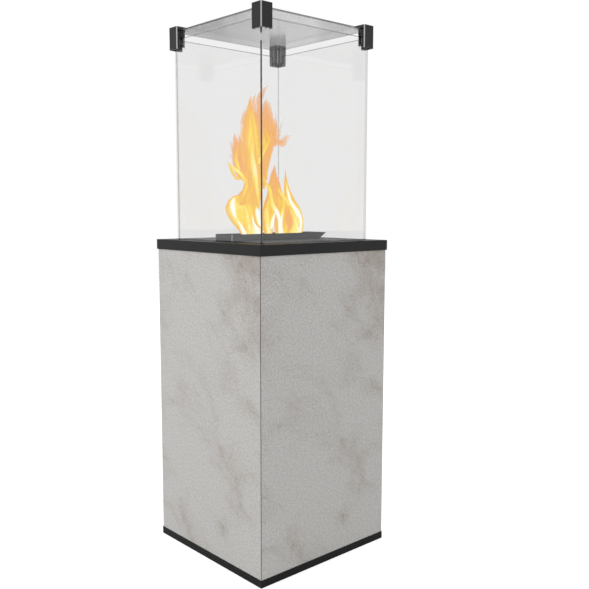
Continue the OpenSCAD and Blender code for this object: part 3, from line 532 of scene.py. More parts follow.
def ground_rim_effect():
    """a pane's tint with its grey ground top rim, and 1 where the rim is"""
    outputs = {"Colour": "Color", "Rim": "Float"}
    group, nodes, link, source, result = new_effect("ground_rim", {"Vector": "Vector", "Tint": "Color"},
                                                    outputs)
    spot = nodes.new("ShaderNodeSeparateXYZ")
    link(source.outputs["Vector"], spot.inputs[0])
    rim = ramp(nodes, link, spot.outputs["Z"], rim_from, rim_to)
    link(blend_colour(nodes, link, rim, source.outputs["Tint"], ground_rim), result.inputs["Colour"])
    link(rim, result.inputs["Rim"])
    return group


def smudge_effect():
    """faint smears that dull the polish"""
    group, nodes, link, source, result = new_effect("smudge", {"Vector": "Vector"},
                                                    {"Roughness": "Float"})
    smears = noise(nodes, link, source.outputs["Vector"], smudge_scale, 3)
    link(spread(nodes, link, smears, 0.0, smudge_haze), result.inputs["Roughness"])
    return group


end_cut = end_cut_effect()
pane_rim = ground_rim_effect()
smudge = smudge_effect()


def painted_band_tint(nodes, link, place):
    """the smoked plate's bands of painted shade and painted reflection, laid out along the view's
    horizontal
    """
    reach = along(nodes, link, place.outputs["Object"], band_axis)
    tints = nodes.new("ShaderNodeValToRGB")
    tints.color_ramp.interpolation = "EASE"
    while len(tints.color_ramp.elements) < len(plate_painted_bands):
        tints.color_ramp.elements.new(0.5)
    for stop, (spot, grey) in zip(tints.color_ramp.elements, plate_painted_bands):
        stop.position = (spot + plate_half) / (2 * plate_half)
        stop.color = (grey, grey, grey * plate_blue, 1)
    link(spread(nodes, link, reach, 0.0, 1.0, -plate_half, plate_half), tints.inputs["Fac"])
    return tints.outputs["Color"]


def glass(name, tint, cuts, haze=0.02, bend=1.1, shine=1.0):
    """glass with a tint on each cut face, painted shade on the panes' cuts; haze blurs its gloss and
    bend is its index inside
    """
    material, nodes, link, shader = new_finish(name)
    shader.inputs["Transmission Weight"].default_value = 1.0
    shader.inputs["IOR"].default_value = bend
    shader.inputs["Coat Weight"].default_value = shine
    shader.inputs["Coat IOR"].default_value = polish_index
    shader.inputs["Coat Roughness"].default_value = haze
    place = nodes.new("ShaderNodeTexCoord")
    point = place.outputs["Object"]
    if tint:
        # the ground rim has no polish
        top = lay_effect(nodes, pane_rim)
        top.inputs["Tint"].default_value = tint
        link(point, top.inputs["Vector"])
        colour = top.outputs["Colour"]
        link(sum_of(nodes, link, top.outputs["Rim"], -shine, shine), shader.inputs["Coat Weight"])
    else:
        colour = painted_band_tint(nodes, link, place)
    for axis, cut in cuts:
        end = lay_effect(nodes, end_cut)
        end.inputs["Axis"].default_value = axis
        # the darkest painted cuts break under the clamp for a painted reflection
        end.inputs["Gap"].default_value = 1.0 if cut in (shaded_dark_cut, shaded_near_cut) else 0.0
        link(point, end.inputs["Vector"])
        link(place.outputs["Normal"], end.inputs["Normal"])
        colour = blend_colour(nodes, link, end.outputs["Mask"], colour, cut)
    link(colour, shader.inputs["Base Color"])
    smears = lay_effect(nodes, smudge)
    link(point, smears.inputs["Vector"])
    link(smears.outputs["Roughness"], shader.inputs["Roughness"])
    return material


front_cut = (0, -1, 0)
back_cut = (0, 1, 0)
left_cut = (-1, 0, 0)
right_cut = (1, 0, 0)
pane_cuts = {
    "right": (shaded_front_tint, [(front_cut, shaded_dark_cut), (back_cut, shaded_grey_cut)]),
    "left": (rear_tint, [(front_cut, shaded_pale_cut), (back_cut, shaded_grey_cut)]),
    "front": (shaded_front_tint, [(left_cut, shaded_smoky_cut), (right_cut, shaded_near_cut)]),
    "rear": (rear_tint, [(left_cut, shaded_pale_cut), (right_cut, shaded_pale_cut)]),
}
for side, (tint, cuts) in pane_cuts.items():
    dress(glass(f"{side}_pane_glass", tint, cuts), f"{side}_glass")
plate_cuts = [(axis, plate_cut) for axis in (front_cut, back_cut, left_cut, right_cut)]
dress(glass("cover_glass", None, plate_cuts, haze=0.16, bend=1.02, shine=0.8), "top_glass")

# Clamps: four cast corner blocks, milled for two panes and the cover plate, in dark satin coat. Their
# upright bevels carry a painted highlight, a narrow strip of light metal colour along each, and their
# slots are painted a lighter grey as painted light.
clamp_grey = (0.0135, 0.0135, 0.0135)
# painted light: a lighter grey inside the slots, where shade falls
slot_lift_grey = (0.036, 0.037, 0.038, 1)
# a painted highlight: light metal colour laid along the upright bevels
highlight_metal = (0.44, 0.445, 0.45, 1)
# the rubber pads are painted a lighter grey than black rubber, painted light that lifts the shade among
# the clamps
pad_lifted_grey = (0.24, 0.24, 0.24)
screw_steel = (0.30, 0.30, 0.31)
# the clamps' slots lie within this distance from the middle planes
slot_from = 0.2156
slot_to = 0.2150
bevel_from = 0.44
bevel_to = 0.49


def edge_highlight_effect():
    """paints a highlight in light metal colour on upright bevels, whose normals lie half way between X
    and Y
    """
    inputs = {"Normal": "Vector", "Coated": "Color", "Highlight Colour": "Color"}
    outputs = {"Colour": "Color", "Highlit": "Float"}
    group, nodes, link, source, result = new_effect("edge_highlight", inputs, outputs)
    # the product of the normal's X and Y parts is 0.5 or -0.5 on an upright bevel
    parts = nodes.new("ShaderNodeSeparateXYZ")
    link(source.outputs["Normal"], parts.inputs[0])
    slant = size_of(nodes, link, product(nodes, link, parts.outputs["X"], parts.outputs["Y"]))
    bevel = ramp(nodes, link, slant, bevel_from, bevel_to)
    link(blend_colour(nodes, link, bevel, source.outputs["Coated"], source.outputs["Highlight Colour"]),
         result.inputs["Colour"])
    link(bevel, result.inputs["Highlit"])
    return group


edge_highlight = edge_highlight_effect()


def highlighted_corners(material, shine_colour, inside=None):
    """a coated finish with a painted highlight on its upright bevels, and if given a lighter colour
    inside its slots as painted light
    """
    nodes = material.node_tree.nodes
    link = material.node_tree.links.new
    shader = nodes["Principled BSDF"]
    place = nodes.new("ShaderNodeTexCoord")
    coated = shader.inputs["Base Color"].links[0].from_socket
    if inside:
        # the slots behind the outer faces are painted a lighter grey, painted light that lifts their
        # shade
        outer = from_middle(nodes, link, place.outputs["Object"], "MAXIMUM")
        coated = blend_colour(nodes, link, ramp(nodes, link, outer, slot_from, slot_to), coated, inside)
    effect = lay_effect(nodes, edge_highlight)
    effect.inputs["Highlight Colour"].default_value = shine_colour
    link(place.outputs["Normal"], effect.inputs["Normal"])
    link(coated, effect.inputs["Coated"])
    link(effect.outputs["Colour"], shader.inputs["Base Color"])
    link(effect.outputs["Highlit"], shader.inputs["Metallic"])
    return material


dark_satin = coat("clamp_coat", clamp_grey, 0.45, change=0.2, specular=0.26)
clamp_coat = highlighted_corners(dark_satin, highlight_metal, slot_lift_grey)
dress(clamp_coat, "clamp_front_right", "clamp_front_left", "clamp_rear_right", "clamp_rear_left")
dress(coat("pad_rubber", pad_lifted_grey, 0.7, fineness=600, change=0.3), "clamp_pads")
dress(coat("clamp_screw_steel", screw_steel, 0.32, fineness=500, metallic=1.0), "clamp_screws")

# Burner: a long folded trough with one end sloping out, and a slotted deck that the flames stand on.
# Both have a heat-proof grey coat, lighter than the tray, dulled by heat round the ports.
burner_grey = (0.040, 0.041, 0.043)
deck_brown = (0.045, 0.042, 0.040)
# a painted highlight in light metal colour along the trough's upright corners
trough_edge_highlight = (0.60, 0.60, 0.61, 1)
burner_coat = coat("burner_coat", burner_grey, 0.44, fineness=800, change=0.18, gloss=0.2, specular=0.1)
dress(highlighted_corners(burner_coat, trough_edge_highlight), "burner_trough")
dress(coat("deck_coat", deck_brown, 0.6, fineness=500, change=0.5), "burner_deck")

# Burner feed: a bent steel mixing tube with air slots, a brass jet in its end, and a pilot set of
# burner, spark electrode and thermocouple on a steel bracket.
brass_yellow = (0.68, 0.49, 0.20)
copper_red = (0.62, 0.29, 0.17)
steel_grey = (0.46, 0.465, 0.475)
glaze_cream = (0.78, 0.755, 0.70)
brass = coat("turned_brass", brass_yellow, 0.30, fineness=600, change=0.16, metallic=1.0,
             stretch=(1, 0.1, 1))
copper = coat("drawn_copper", copper_red, 0.33, fineness=500, change=0.3, metallic=1.0)
steel = coat("drawn_steel", steel_grey, 0.36, fineness=500, change=0.2, metallic=1.0,
             stretch=(1, 0.08, 1))
ceramic = coat("glazed_ceramic", glaze_cream, 0.22, fineness=200, change=0.06, relief=0.00001)
dress(steel, "mixing_tube", "pilot_bracket")
dress(brass, "injector", "pilot_burner")
dress(ceramic, "igniter_electrode")
dress(copper, "thermocouple")

# Heat shield and control plate: bright galvanised sheet with its spangle over the cylinder room, and a
# black coated plate that carries the controls behind the door.
spangle_grey = (0.52, 0.53, 0.54)
shield_sheet = coat("galvanised_sheet", spangle_grey, 0.38, fineness=60, change=0.3, gloss=0.3,
                    metallic=1.0, relief=0.00002)
dress(shield_sheet, "heat_shield")
dress(coat("control_coat", tray_black, 0.5, change=0.3), "control_plate")

# Valve, knobs and igniter: a die-cast valve body, moulded black knobs with finger flutes, a black piezo
# barrel and its red push button.
alloy_grey = (0.48, 0.485, 0.50)
knob_black = (0.018, 0.018, 0.019)
button_red = (0.45, 0.03, 0.022)
cast_alloy = coat("cast_alloy", alloy_grey, 0.46, fineness=260, change=0.2, gloss=0.2, metallic=1.0,
                  relief=0.00012)
knob_plastic = coat("knob_plastic", knob_black, 0.42, fineness=700, change=0.3, relief=0.00006)
dress(cast_alloy, "control_valve")
dress(brass, "main_sleeve")
dress(knob_plastic, "main_knob", "flame_knob", "piezo_igniter")
dress(coat("button_plastic", button_red, 0.28, fineness=400, change=0.12), "igniter_button")

# Cylinder: a welded steel gas bottle with a foot ring and a rolled collar, in semi-gloss blue paint
# with small runs and dull patches, a brass valve on top and a red handwheel.
bottle_blue = (0.075, 0.160, 0.270)
wheel_red = (0.38, 0.035, 0.028)
bottle_paint = coat("bottle_paint", bottle_blue, 0.34, fineness=240, change=0.25, gloss=0.25,
                    relief=0.00012)
dress(bottle_paint, "cylinder_shell", "cylinder_ring", "cylinder_collar")
dress(brass, "cylinder_valve")
dress(coat("handwheel_plastic", wheel_red, 0.4, fineness=500, change=0.2), "cylinder_handwheel")

# Regulator: a zinc die casting with a pressed cover, screwed to the cylinder's valve by a hexagon nut.
# It has the same cast finish as the body of the control valve.
dress(cast_alloy, "regulator")

# Hose: 15 mm rubber gas hose from the regulator up the right wall to the valve, with a crimped ferrule
# on each end. It follows the same route as the CAD solid, drawn smooth and with a faint woven skin.
hose_orange = (0.62, 0.22, 0.035)
hose_radius = 0.0075
hose_route = [
    (0.140, 0, 0.530), (0.155, 0, 0.530), (0.161, 0, 0.530), (0.1838, 0, 0.535), (0.203, 0, 0.548),
    (0.216, 0, 0.567), (0.221, 0, 0.590), (0.221, 0.0258, 0.6315), (0.221, 0.0805, 0.6675),
    (0.221, 0.1352, 0.7035), (0.221, 0.161, 0.745), (0.216, 0.161, 0.768), (0.203, 0.161, 0.787),
    (0.1838, 0.161, 0.800), (0.161, 0.161, 0.805), (0.122, 0.161, 0.805), (0.077, 0.161, 0.805),
    (0.062, 0.161, 0.805),
]
tube_roundness = 5
curve_steps = 6


def sweep(name, knots, radius, roundness):
    """a smooth round skin along the knots, each a point and the thickness there in radii"""
    line = bpy.data.curves.new(name, "CURVE")
    line.dimensions = "3D"
    line.bevel_depth = radius
    line.bevel_resolution = roundness
    line.resolution_u = curve_steps
    line.use_fill_caps = True
    spline = line.splines.new("BEZIER")
    spline.bezier_points.add(len(knots) - 1)
    for knot, (point, thickness) in zip(spline.bezier_points, knots):
        knot.co = point
        knot.radius = thickness
        knot.handle_left_type = "AUTO"
        knot.handle_right_type = "AUTO"
    skin = bpy.data.objects.new(name, line)
    bpy.context.scene.collection.objects.link(skin)
    bpy.ops.object.select_all(action="DESELECT")
    skin.select_set(True)
    bpy.context.view_layer.objects.active = skin
    bpy.ops.object.convert(target="MESH")
    bpy.ops.object.shade_smooth()
    return bpy.context.object


def bent_tube(name, route, radius, material):
    """a round tube along the route, in place of the CAD node of nearly the same name"""
    tube = sweep(name, [(point, 1.0) for point in route], radius, tube_roundness)
    tube.data.materials.append(material)
    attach(tube, "root")
    return tube


hose_skin = coat("hose_skin", hose_orange, 0.55, fineness=420, change=0.25, relief=0.0002)
hose = bent_tube("hose", hose_route, hose_radius, hose_skin)
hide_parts("gas_hose")
dress(zinc_plate, "hose_ferrules")

# Small tubes and leads under the hearth: an aluminium gas pipe from valve to jet, copper pilot tube and
# thermocouple lead, and the silicone igniter lead. They follow the same routes as their CAD solids.
pipe_grey = (0.66, 0.67, 0.68)
lead_red = (0.30, 0.035, 0.025)
pipe_radius = 0.004
pilot_radius = 0.002
sensor_radius = 0.0015
spark_radius = 0.002
valve_top = 0.862
feed_z = 0.908
lead_z = 0.904
pilot_x = 0.022
pilot_y = -0.150
pilot_start = 0.926
sensor_start = 0.928
port_x = 0.025
port_y = 0.161
pipe_route = [
    (0, 0.102, feed_z), (0, 0.1138, feed_z), (0, 0.1386, 0.904), (0, 0.1551, 0.8905),
    (0, port_y, 0.8749), (0, port_y, valve_top),
]
spark_route = [
    (-0.090, 0.130, 0.830), (-0.090, 0.120, 0.830), (-0.088, 0.110, 0.840), (-0.086, 0.110, 0.862),
    (-0.082, 0.116, 0.882), (-0.074, 0.098, 0.8965), (-0.066, 0.060, 0.8955), (-0.042, 0, 0.8955),
    (-0.038, -0.060, 0.8955), (-0.032, -0.110, 0.8955), (-0.009, -0.142, 0.8965),
    (-0.001, pilot_y, 0.9065), (0, pilot_y, 0.919), (0, pilot_y, 0.930),
]


def back_lead(side, start_z):
    """the way from a pilot fitting on the side, -1 or 1, back under the hearth and down to the valve"""
    x = side * pilot_x
    end_x = side * port_x
    return [
        (x, pilot_y, start_z), (x, pilot_y, start_z - 0.009), (x, pilot_y + 0.006, lead_z + 0.003),
        (x, pilot_y + 0.024, lead_z), (x, -0.060, lead_z), (x, 0, lead_z), (x, 0.060, lead_z),
        (end_x, port_y - 0.030, lead_z - 0.001), (end_x, port_y - 0.006, lead_z - 0.012),
        (end_x, port_y, valve_top + 0.014), (end_x, port_y, valve_top),
    ]


alloy_tube = coat("alloy_tube", pipe_grey, 0.3, fineness=400, change=0.12, metallic=1.0)
gas_pipe = bent_tube("alloy_gas_pipe", pipe_route, pipe_radius, alloy_tube)
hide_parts("gas_pipe")
pilot_tube = bent_tube("copper_pilot_tube", back_lead(-1, pilot_start), pilot_radius, copper)
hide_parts("pilot_tube")
sensor_lead = bent_tube("copper_sensor_lead", back_lead(1, sensor_start), sensor_radius, copper)
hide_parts("thermocouple_lead")
silicone_red = coat("silicone_red", lead_red, 0.5, fineness=500, change=0.2)
spark_lead = bent_tube("silicone_spark_lead", spark_route, spark_radius, silicone_red)
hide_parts("igniter_lead")

# Door: the fourth stone board on a coated backing plate with two stiffening rails, hung on rolled steel
# hinges at its left and held by a magnet at its right.
hinge_grey = (0.34, 0.345, 0.355)
magnet_white = (0.70, 0.70, 0.69)
dress(frame_coat, "door_plate", "door_rails")
dress(coat("hinge_steel", hinge_grey, 0.36, fineness=500, change=0.25, metallic=1.0),
      "frame_hinges", "door_hinges")
dress(coat("magnet_housing", magnet_white, 0.4, fineness=400, change=0.08), "magnet_catch")

# Flames: burning gas over the deck's slots, as flat tongues that lean and split as they rise. Each glows
# pale yellow inside and orange at its rim, crisp at the foot and fading out towards its tip.
flame_foot = 0.957
flame_top = 1.420
flame_flatness = 0.42
flame_light = 1.20
mm = 0.001
# a swept curve of roundness r has 2 r + 4 sides
tongue_roundness = 10
ring_count = 2 * tongue_roundness + 4
# how wide and long a streak is, and how far the streaks of one tongue lie from those of the next
streak_width = 0.013
streak_length = 0.065
streak_step = 3.7
streak_heat = 0.6
# a tongue's rim reaches this far in and has this share of the heat inside; a soft tongue's is warmer
rim_reach = 0.40
rim_heat = 0.34
soft_heat = 0.35
# how steeply the cover rises from the rim, at the foot and at the tip, and for a soft tongue
foot_edge = 9.0
tip_edge = 1.3
soft_edge = 1.15
foot_tatter = 0.3
tip_tatter = 4.0
faint_glow = 0.28
# each tongue: its name, its place across the trough, its softness, then (y, z, half width, glow) up its
# middle line, with lengths in mm
tongues = [
    # the tall column and its veins
    ("column_shade", -9, 0.7, [
        (-24, 1099, 5, 0.30), (-20, 1131, 10, 0.30), (-19, 1168, 12, 0.30), (-18, 1206, 15, 0.31),
        (-15, 1244, 17, 0.31), (-15, 1281, 18, 0.28), (-17, 1312, 17, 0.24), (-19, 1337, 14, 0.19),
        (-17, 1355, 7, 0.13), (-15, 1365, 1, 0.08)
    ]),
    ("column", -6, 0.3, [
        (-67, 1104, 27, 0.40), (-67, 1129, 28, 0.40), (-68, 1157, 30, 0.42), (-71, 1191, 32, 0.42),
        (-75, 1228, 34, 0.42), (-77, 1264, 34, 0.40), (-81, 1298, 27, 0.36), (-77, 1329, 14, 0.32),
        (-73, 1353, 7, 0.26), (-70, 1370, 1, 0.16)
    ]),
    ("column_core", 7, 1.0, [
        (-52, 1041, 3, 0.44), (-55, 1064, 7, 0.56), (-61, 1089, 11, 0.66), (-68, 1123, 14, 0.78),
        (-75, 1160, 16, 0.86), (-81, 1196, 14, 0.76), (-85, 1233, 16, 0.66), (-87, 1269, 15, 0.56),
        (-89, 1305, 11, 0.50), (-87, 1332, 7, 0.42), (-84, 1354, 3, 0.30)
    ]),
    ("column_gold", 5, 1.0, [
        (-56, 1197, 7, 0.50), (-60, 1222, 12, 0.56), (-64, 1246, 14, 0.56), (-68, 1277, 12, 0.52),
        (-74, 1307, 7, 0.46), (-76, 1331, 3, 0.38)
    ]),
    ("column_right", -7, 0.6, [
        (-35, 1064, 5, 0.40), (-38, 1092, 8, 0.42), (-40, 1124, 11, 0.43), (-40, 1155, 13, 0.43),
        (-39, 1186, 15, 0.42), (-38, 1218, 15, 0.42), (-40, 1248, 14, 0.40), (-43, 1276, 9, 0.34),
        (-44, 1294, 2, 0.24)
    ]),
    # fingers over its top
    ("top_finger", -2, 0.8, [
        (-42, 1236, 12, 0.34), (-47, 1266, 15, 0.34), (-50, 1294, 10, 0.28), (-47, 1321, 13, 0.22),
        (-45, 1346, 16, 0.20), (-40, 1368, 13, 0.18), (-28, 1387, 7, 0.15), (-10, 1404, 1, 0.10)
    ]),
    ("top_shade", -10, 1.0, [
        (-34, 1237, 7, 0.30), (-35, 1268, 10, 0.28), (-36, 1295, 10, 0.24), (-35, 1326, 11, 0.20),
        (-33, 1357, 8, 0.16)
    ]),
    ("top_left_finger", -4, 0.8, [
        (-60, 1302, 9, 0.30), (-63, 1326, 11, 0.26), (-63, 1348, 10, 0.20), (-60, 1365, 5, 0.15),
        (-54, 1376, 1, 0.10)
    ]),
    # its right side
    ("right_cloud", -3, 0.6, [
        (-23, 1130, 6, 0.26), (-19, 1162, 11, 0.28), (-15, 1190, 16, 0.30), (-8, 1222, 21, 0.30),
        (-3, 1253, 27, 0.29), (-4, 1285, 26, 0.25), (-9, 1312, 20, 0.21), (-11, 1337, 17, 0.18),
        (-11, 1352, 12, 0.13), (-12, 1363, 2, 0.08)
    ]),
    ("right_finger", -5, 0.8, [
        (10, 1239, 14, 0.26), (15, 1264, 14, 0.24), (20, 1286, 10, 0.18), (22, 1308, 4, 0.14),
        (22, 1329, 1, 0.09)
    ]),
    ("right_wisp", -8, 1.0, [
        (28, 1240, 8, 0.16), (35, 1262, 10, 0.13), (43, 1285, 7, 0.09), (56, 1306, 2, 0.05)
    ]),
    ("right_patch", -7, 0.9, [
        (16, 1233, 7, 0.20), (33, 1239, 11, 0.20), (52, 1241, 15, 0.20), (66, 1253, 12, 0.13),
        (89, 1267, 1, 0.06)
    ]),
    ("right_vein", 8, 1.0, [
        (-55, 1173, 7, 0.60), (-47, 1188, 8, 0.66), (-36, 1208, 7, 0.60), (-24, 1227, 8, 0.58),
        (-18, 1246, 10, 0.50), (-23, 1261, 9, 0.42), (-29, 1273, 4, 0.32)
    ]),
    ("right_inner", 8, 1.0, [
        (-37, 1198, 3, 0.42), (-36, 1220, 5, 0.50), (-34, 1242, 8, 0.52), (-36, 1260, 7, 0.44),
        (-37, 1278, 3, 0.32)
    ]),
    ("right_lower_vein", 6, 1.0, [
        (-22, 1127, 3, 0.34), (-24, 1149, 5, 0.44), (-20, 1171, 5, 0.40), (-14, 1190, 3, 0.32)
    ]),
    # the arm on its left
    ("arm", -3, 0.6, [
        (-101, 1127, 9, 0.38), (-109, 1150, 15, 0.36), (-121, 1171, 21, 0.33), (-124, 1192, 21, 0.30),
        (-128, 1213, 18, 0.26), (-130, 1231, 12, 0.21), (-134, 1245, 7, 0.16), (-137, 1257, 1, 0.10)
    ]),
    ("arm_shoulder", -5, 0.6, [
        (-99, 1135, 9, 0.42), (-103, 1159, 13, 0.40), (-107, 1186, 13, 0.36), (-109, 1211, 11, 0.30),
        (-112, 1232, 8, 0.23), (-116, 1247, 4, 0.16), (-119, 1256, 1, 0.10)
    ]),
    ("arm_wisp", -9, 1.0, [
        (-128, 1192, 9, 0.18), (-136, 1213, 9, 0.15), (-143, 1226, 6, 0.10), (-151, 1235, 1, 0.06)
    ]),
    ("arm_spike", 2, 1.0, [
        (-136, 1182, 4, 0.26), (-145, 1188, 3, 0.22), (-157, 1192, 1, 0.14)
    ]),
    ("arm_vein", 6, 1.0, [
        (-125, 1152, 5, 0.52), (-133, 1170, 8, 0.64), (-137, 1186, 8, 0.62), (-134, 1203, 7, 0.54),
        (-130, 1218, 5, 0.44), (-127, 1230, 2, 0.32)
    ]),
    ("shoulder_vein", 5, 1.0, [
        (-107, 1168, 3, 0.40), (-113, 1192, 6, 0.52), (-116, 1210, 7, 0.50), (-120, 1225, 3, 0.38)
    ]),
    ("arm_edge", 9, 0.6, [
        (-104, 1111, 2, 0.52), (-110, 1124, 6, 0.66), (-122, 1139, 7, 0.78), (-137, 1149, 7, 0.84),
        (-153, 1158, 5, 0.78), (-172, 1172, 1, 0.56)
    ]),
    ("arm_loop", 8, 0.5, [
        (-162, 1164, 3, 0.50), (-154, 1147, 5, 0.52), (-144, 1134, 5, 0.50), (-133, 1126, 5, 0.46),
        (-121, 1126, 2, 0.40)
    ]),
    ("arm_foot", 2, 0.8, [
        (-102, 1122, 4, 0.36), (-114, 1129, 6, 0.34), (-126, 1138, 6, 0.30), (-137, 1147, 4, 0.26)
    ]),
    # the waist and the lower left lobe
    ("waist", -7, 0.2, [
        (-74, 1033, 28, 0.45), (-72, 1056, 34, 0.45), (-71, 1079, 34, 0.44), (-68, 1101, 30, 0.44),
        (-66, 1123, 27, 0.42)
    ]),
    ("waist_left", -4, 0.2, [
        (-90, 1048, 22, 0.42), (-109, 1067, 17, 0.42), (-96, 1085, 14, 0.42), (-86, 1104, 13, 0.42),
        (-83, 1123, 10, 0.40)
    ]),
    ("waist_vein", 9, 1.0, [
        (-119, 1070, 3, 0.42), (-110, 1085, 6, 0.52), (-101, 1104, 7, 0.52), (-100, 1125, 6, 0.48),
        (-99, 1147, 3, 0.40)
    ]),
    ("waist_mid_vein", 9, 1.0, [
        (-92, 1061, 3, 0.40), (-82, 1082, 6, 0.46), (-79, 1107, 4, 0.46), (-84, 1129, 3, 0.42)
    ]),
    ("lobe", 3, 0.0, [
        (-86, 963, 25, 0.72), (-99, 982, 25, 0.70), (-116, 1006, 30, 0.68), (-130, 1026, 34, 0.66),
        (-141, 1045, 33, 0.64), (-138, 1060, 19, 0.56), (-123, 1073, 7, 0.48), (-110, 1083, 1, 0.44)
    ]),
    ("dome", 6, 0.1, [
        (-78, 963, 31, 0.82), (-84, 986, 36, 0.70), (-90, 1007, 36, 0.65), (-96, 1027, 33, 0.64),
        (-99, 1041, 27, 0.60), (-99, 1054, 13, 0.52), (-97, 1059, 2, 0.48)
    ]),
    ("lobe_halo", 20, 1.0, [
        (-145, 993, 5, 0.72), (-153, 1015, 14, 0.76), (-159, 1034, 19, 0.80), (-160, 1053, 18, 0.80),
        (-156, 1066, 10, 0.74), (-150, 1075, 2, 0.64)
    ]),
    ("lobe_core", 33, 1.0, [
        (-161, 1013, 3, 0.90), (-167, 1027, 8, 1.12), (-171, 1043, 11, 1.35), (-171, 1055, 9, 1.30),
        (-168, 1065, 5, 1.05), (-164, 1072, 1, 0.84)
    ]),
    ("lobe_stream", 32, 1.0, [
        (-126, 965, 9, 1.10), (-134, 978, 9, 1.05), (-144, 993, 7, 0.95), (-155, 1008, 5, 0.90),
        (-163, 1021, 3, 0.85)
    ]),
    ("dome_light", 19, 1.0, [
        (-101, 977, 6, 0.84), (-103, 999, 9, 0.80), (-108, 1020, 9, 0.76), (-113, 1039, 7, 0.70),
        (-116, 1049, 2, 0.60)
    ]),
    ("base_white", 22, 1.0, [
        (-74, 962, 22, 1.50), (-78, 977, 20, 1.40), (-84, 992, 13, 1.20), (-89, 1008, 7, 1.00),
        (-91, 1020, 2, 0.85)
    ]),
    ("side_white", 22, 1.0, [
        (-60, 983, 4, 1.20), (-65, 1000, 9, 1.45), (-69, 1017, 10, 1.45), (-72, 1033, 7, 1.10),
        (-76, 1046, 2, 0.80)
    ]),
    ("dome_crease", 35, 1.0, [
        (-69, 983, 3, 0.44), (-81, 991, 4, 0.44), (-90, 1004, 5, 0.44), (-93, 1021, 4, 0.46),
        (-98, 1037, 4, 0.46), (-108, 1050, 3, 0.46), (-124, 1057, 1, 0.46)
    ]),
    # the tongues on the right
    ("rear_tongue", -2, 0.2, [
        (-8, 962, 14, 0.64), (-12, 985, 20, 0.60), (-12, 1007, 22, 0.58), (-10, 1029, 23, 0.54),
        (-5, 1052, 21, 0.48), (1, 1074, 17, 0.42), (7, 1096, 18, 0.36), (11, 1119, 18, 0.32),
        (12, 1138, 13, 0.26), (14, 1157, 6, 0.20), (16, 1173, 1, 0.14)
    ]),
    ("middle_tongue", -4, 0.1, [
        (47, 960, 26, 0.61), (46, 987, 29, 0.57), (45, 1013, 28, 0.53), (41, 1039, 25, 0.51),
        (38, 1065, 18, 0.47), (35, 1090, 11, 0.37), (33, 1113, 6, 0.29), (30, 1135, 2, 0.21)
    ]),
    ("front_tongue", 0, 0.0, [
        (91, 960, 32, 0.78), (95, 983, 36, 0.72), (96, 1006, 34, 0.70), (91, 1029, 29, 0.68),
        (80, 1053, 22, 0.62), (70, 1078, 16, 0.56), (63, 1100, 11, 0.50), (59, 1123, 6, 0.44),
        (58, 1140, 3, 0.36), (57, 1156, 1, 0.26)
    ]),
    ("front_core", 18, 1.0, [
        (101, 967, 5, 0.95), (104, 986, 9, 1.15), (101, 1008, 11, 1.30), (91, 1028, 11, 1.35),
        (76, 1045, 8, 1.25), (63, 1061, 7, 1.15), (55, 1081, 6, 1.05), (49, 1100, 4, 0.90),
        (45, 1119, 2, 0.70)
    ]),
    ("front_hollow", 17, 1.0, [
        (62, 974, 4, 0.40), (62, 994, 16, 0.30), (56, 1011, 17, 0.28), (50, 1027, 11, 0.30),
        (44, 1042, 3, 0.38)
    ]),
    ("left_vein", 12, 1.0, [
        (-41, 1139, 2, 0.40), (-35, 1120, 5, 0.50), (-25, 1108, 7, 0.58), (-15, 1095, 9, 0.62),
        (-11, 1077, 8, 0.62), (-7, 1058, 9, 0.70), (4, 1040, 9, 0.86), (16, 1023, 9, 1.00),
        (23, 1004, 8, 1.15), (26, 984, 10, 1.30), (30, 960, 12, 1.45)
    ]),
    ("cross_vein", 19, 1.0, [
        (12, 1105, 2, 0.46), (17, 1092, 6, 0.60), (30, 1077, 8, 0.70), (44, 1065, 8, 0.76),
        (56, 1049, 5, 0.78)
    ]),
    ("upper_vein", 10, 1.0, [
        (38, 1029, 3, 0.62), (42, 1049, 6, 0.66), (41, 1065, 5, 0.60), (37, 1077, 2, 0.52)
    ]),
    ("middle_white", 11, 1.0, [
        (32, 991, 4, 0.95), (32, 1010, 6, 0.95), (36, 1029, 6, 0.84), (39, 1045, 4, 0.70),
        (41, 1058, 1, 0.56)
    ]),
    ("hole_white", 11, 0.9, [
        (-9, 978, 4, 1.00), (-6, 992, 7, 1.35), (-2, 1007, 6, 1.35), (3, 1020, 3, 1.05),
        (4, 1027, 1, 0.80)
    ]),
    ("left_light", 9, 1.0, [
        (-15, 966, 7, 0.95), (-21, 985, 8, 0.86), (-25, 1007, 10, 0.78), (-26, 1029, 10, 0.70),
        (-22, 1048, 7, 0.62), (-18, 1064, 3, 0.52)
    ]),
    ("left_foot", -6, 0.4, [
        (-21, 972, 8, 0.48), (-23, 991, 7, 0.44), (-25, 1010, 6, 0.42), (-25, 1029, 5, 0.40),
        (-21, 1048, 4, 0.38), (-13, 1064, 2, 0.36)
    ]),
    ("front_foot", 17, 1.0, [
        (85, 960, 18, 0.98), (82, 980, 17, 0.92), (79, 1000, 11, 0.88), (76, 1019, 7, 0.82)
    ]),
]


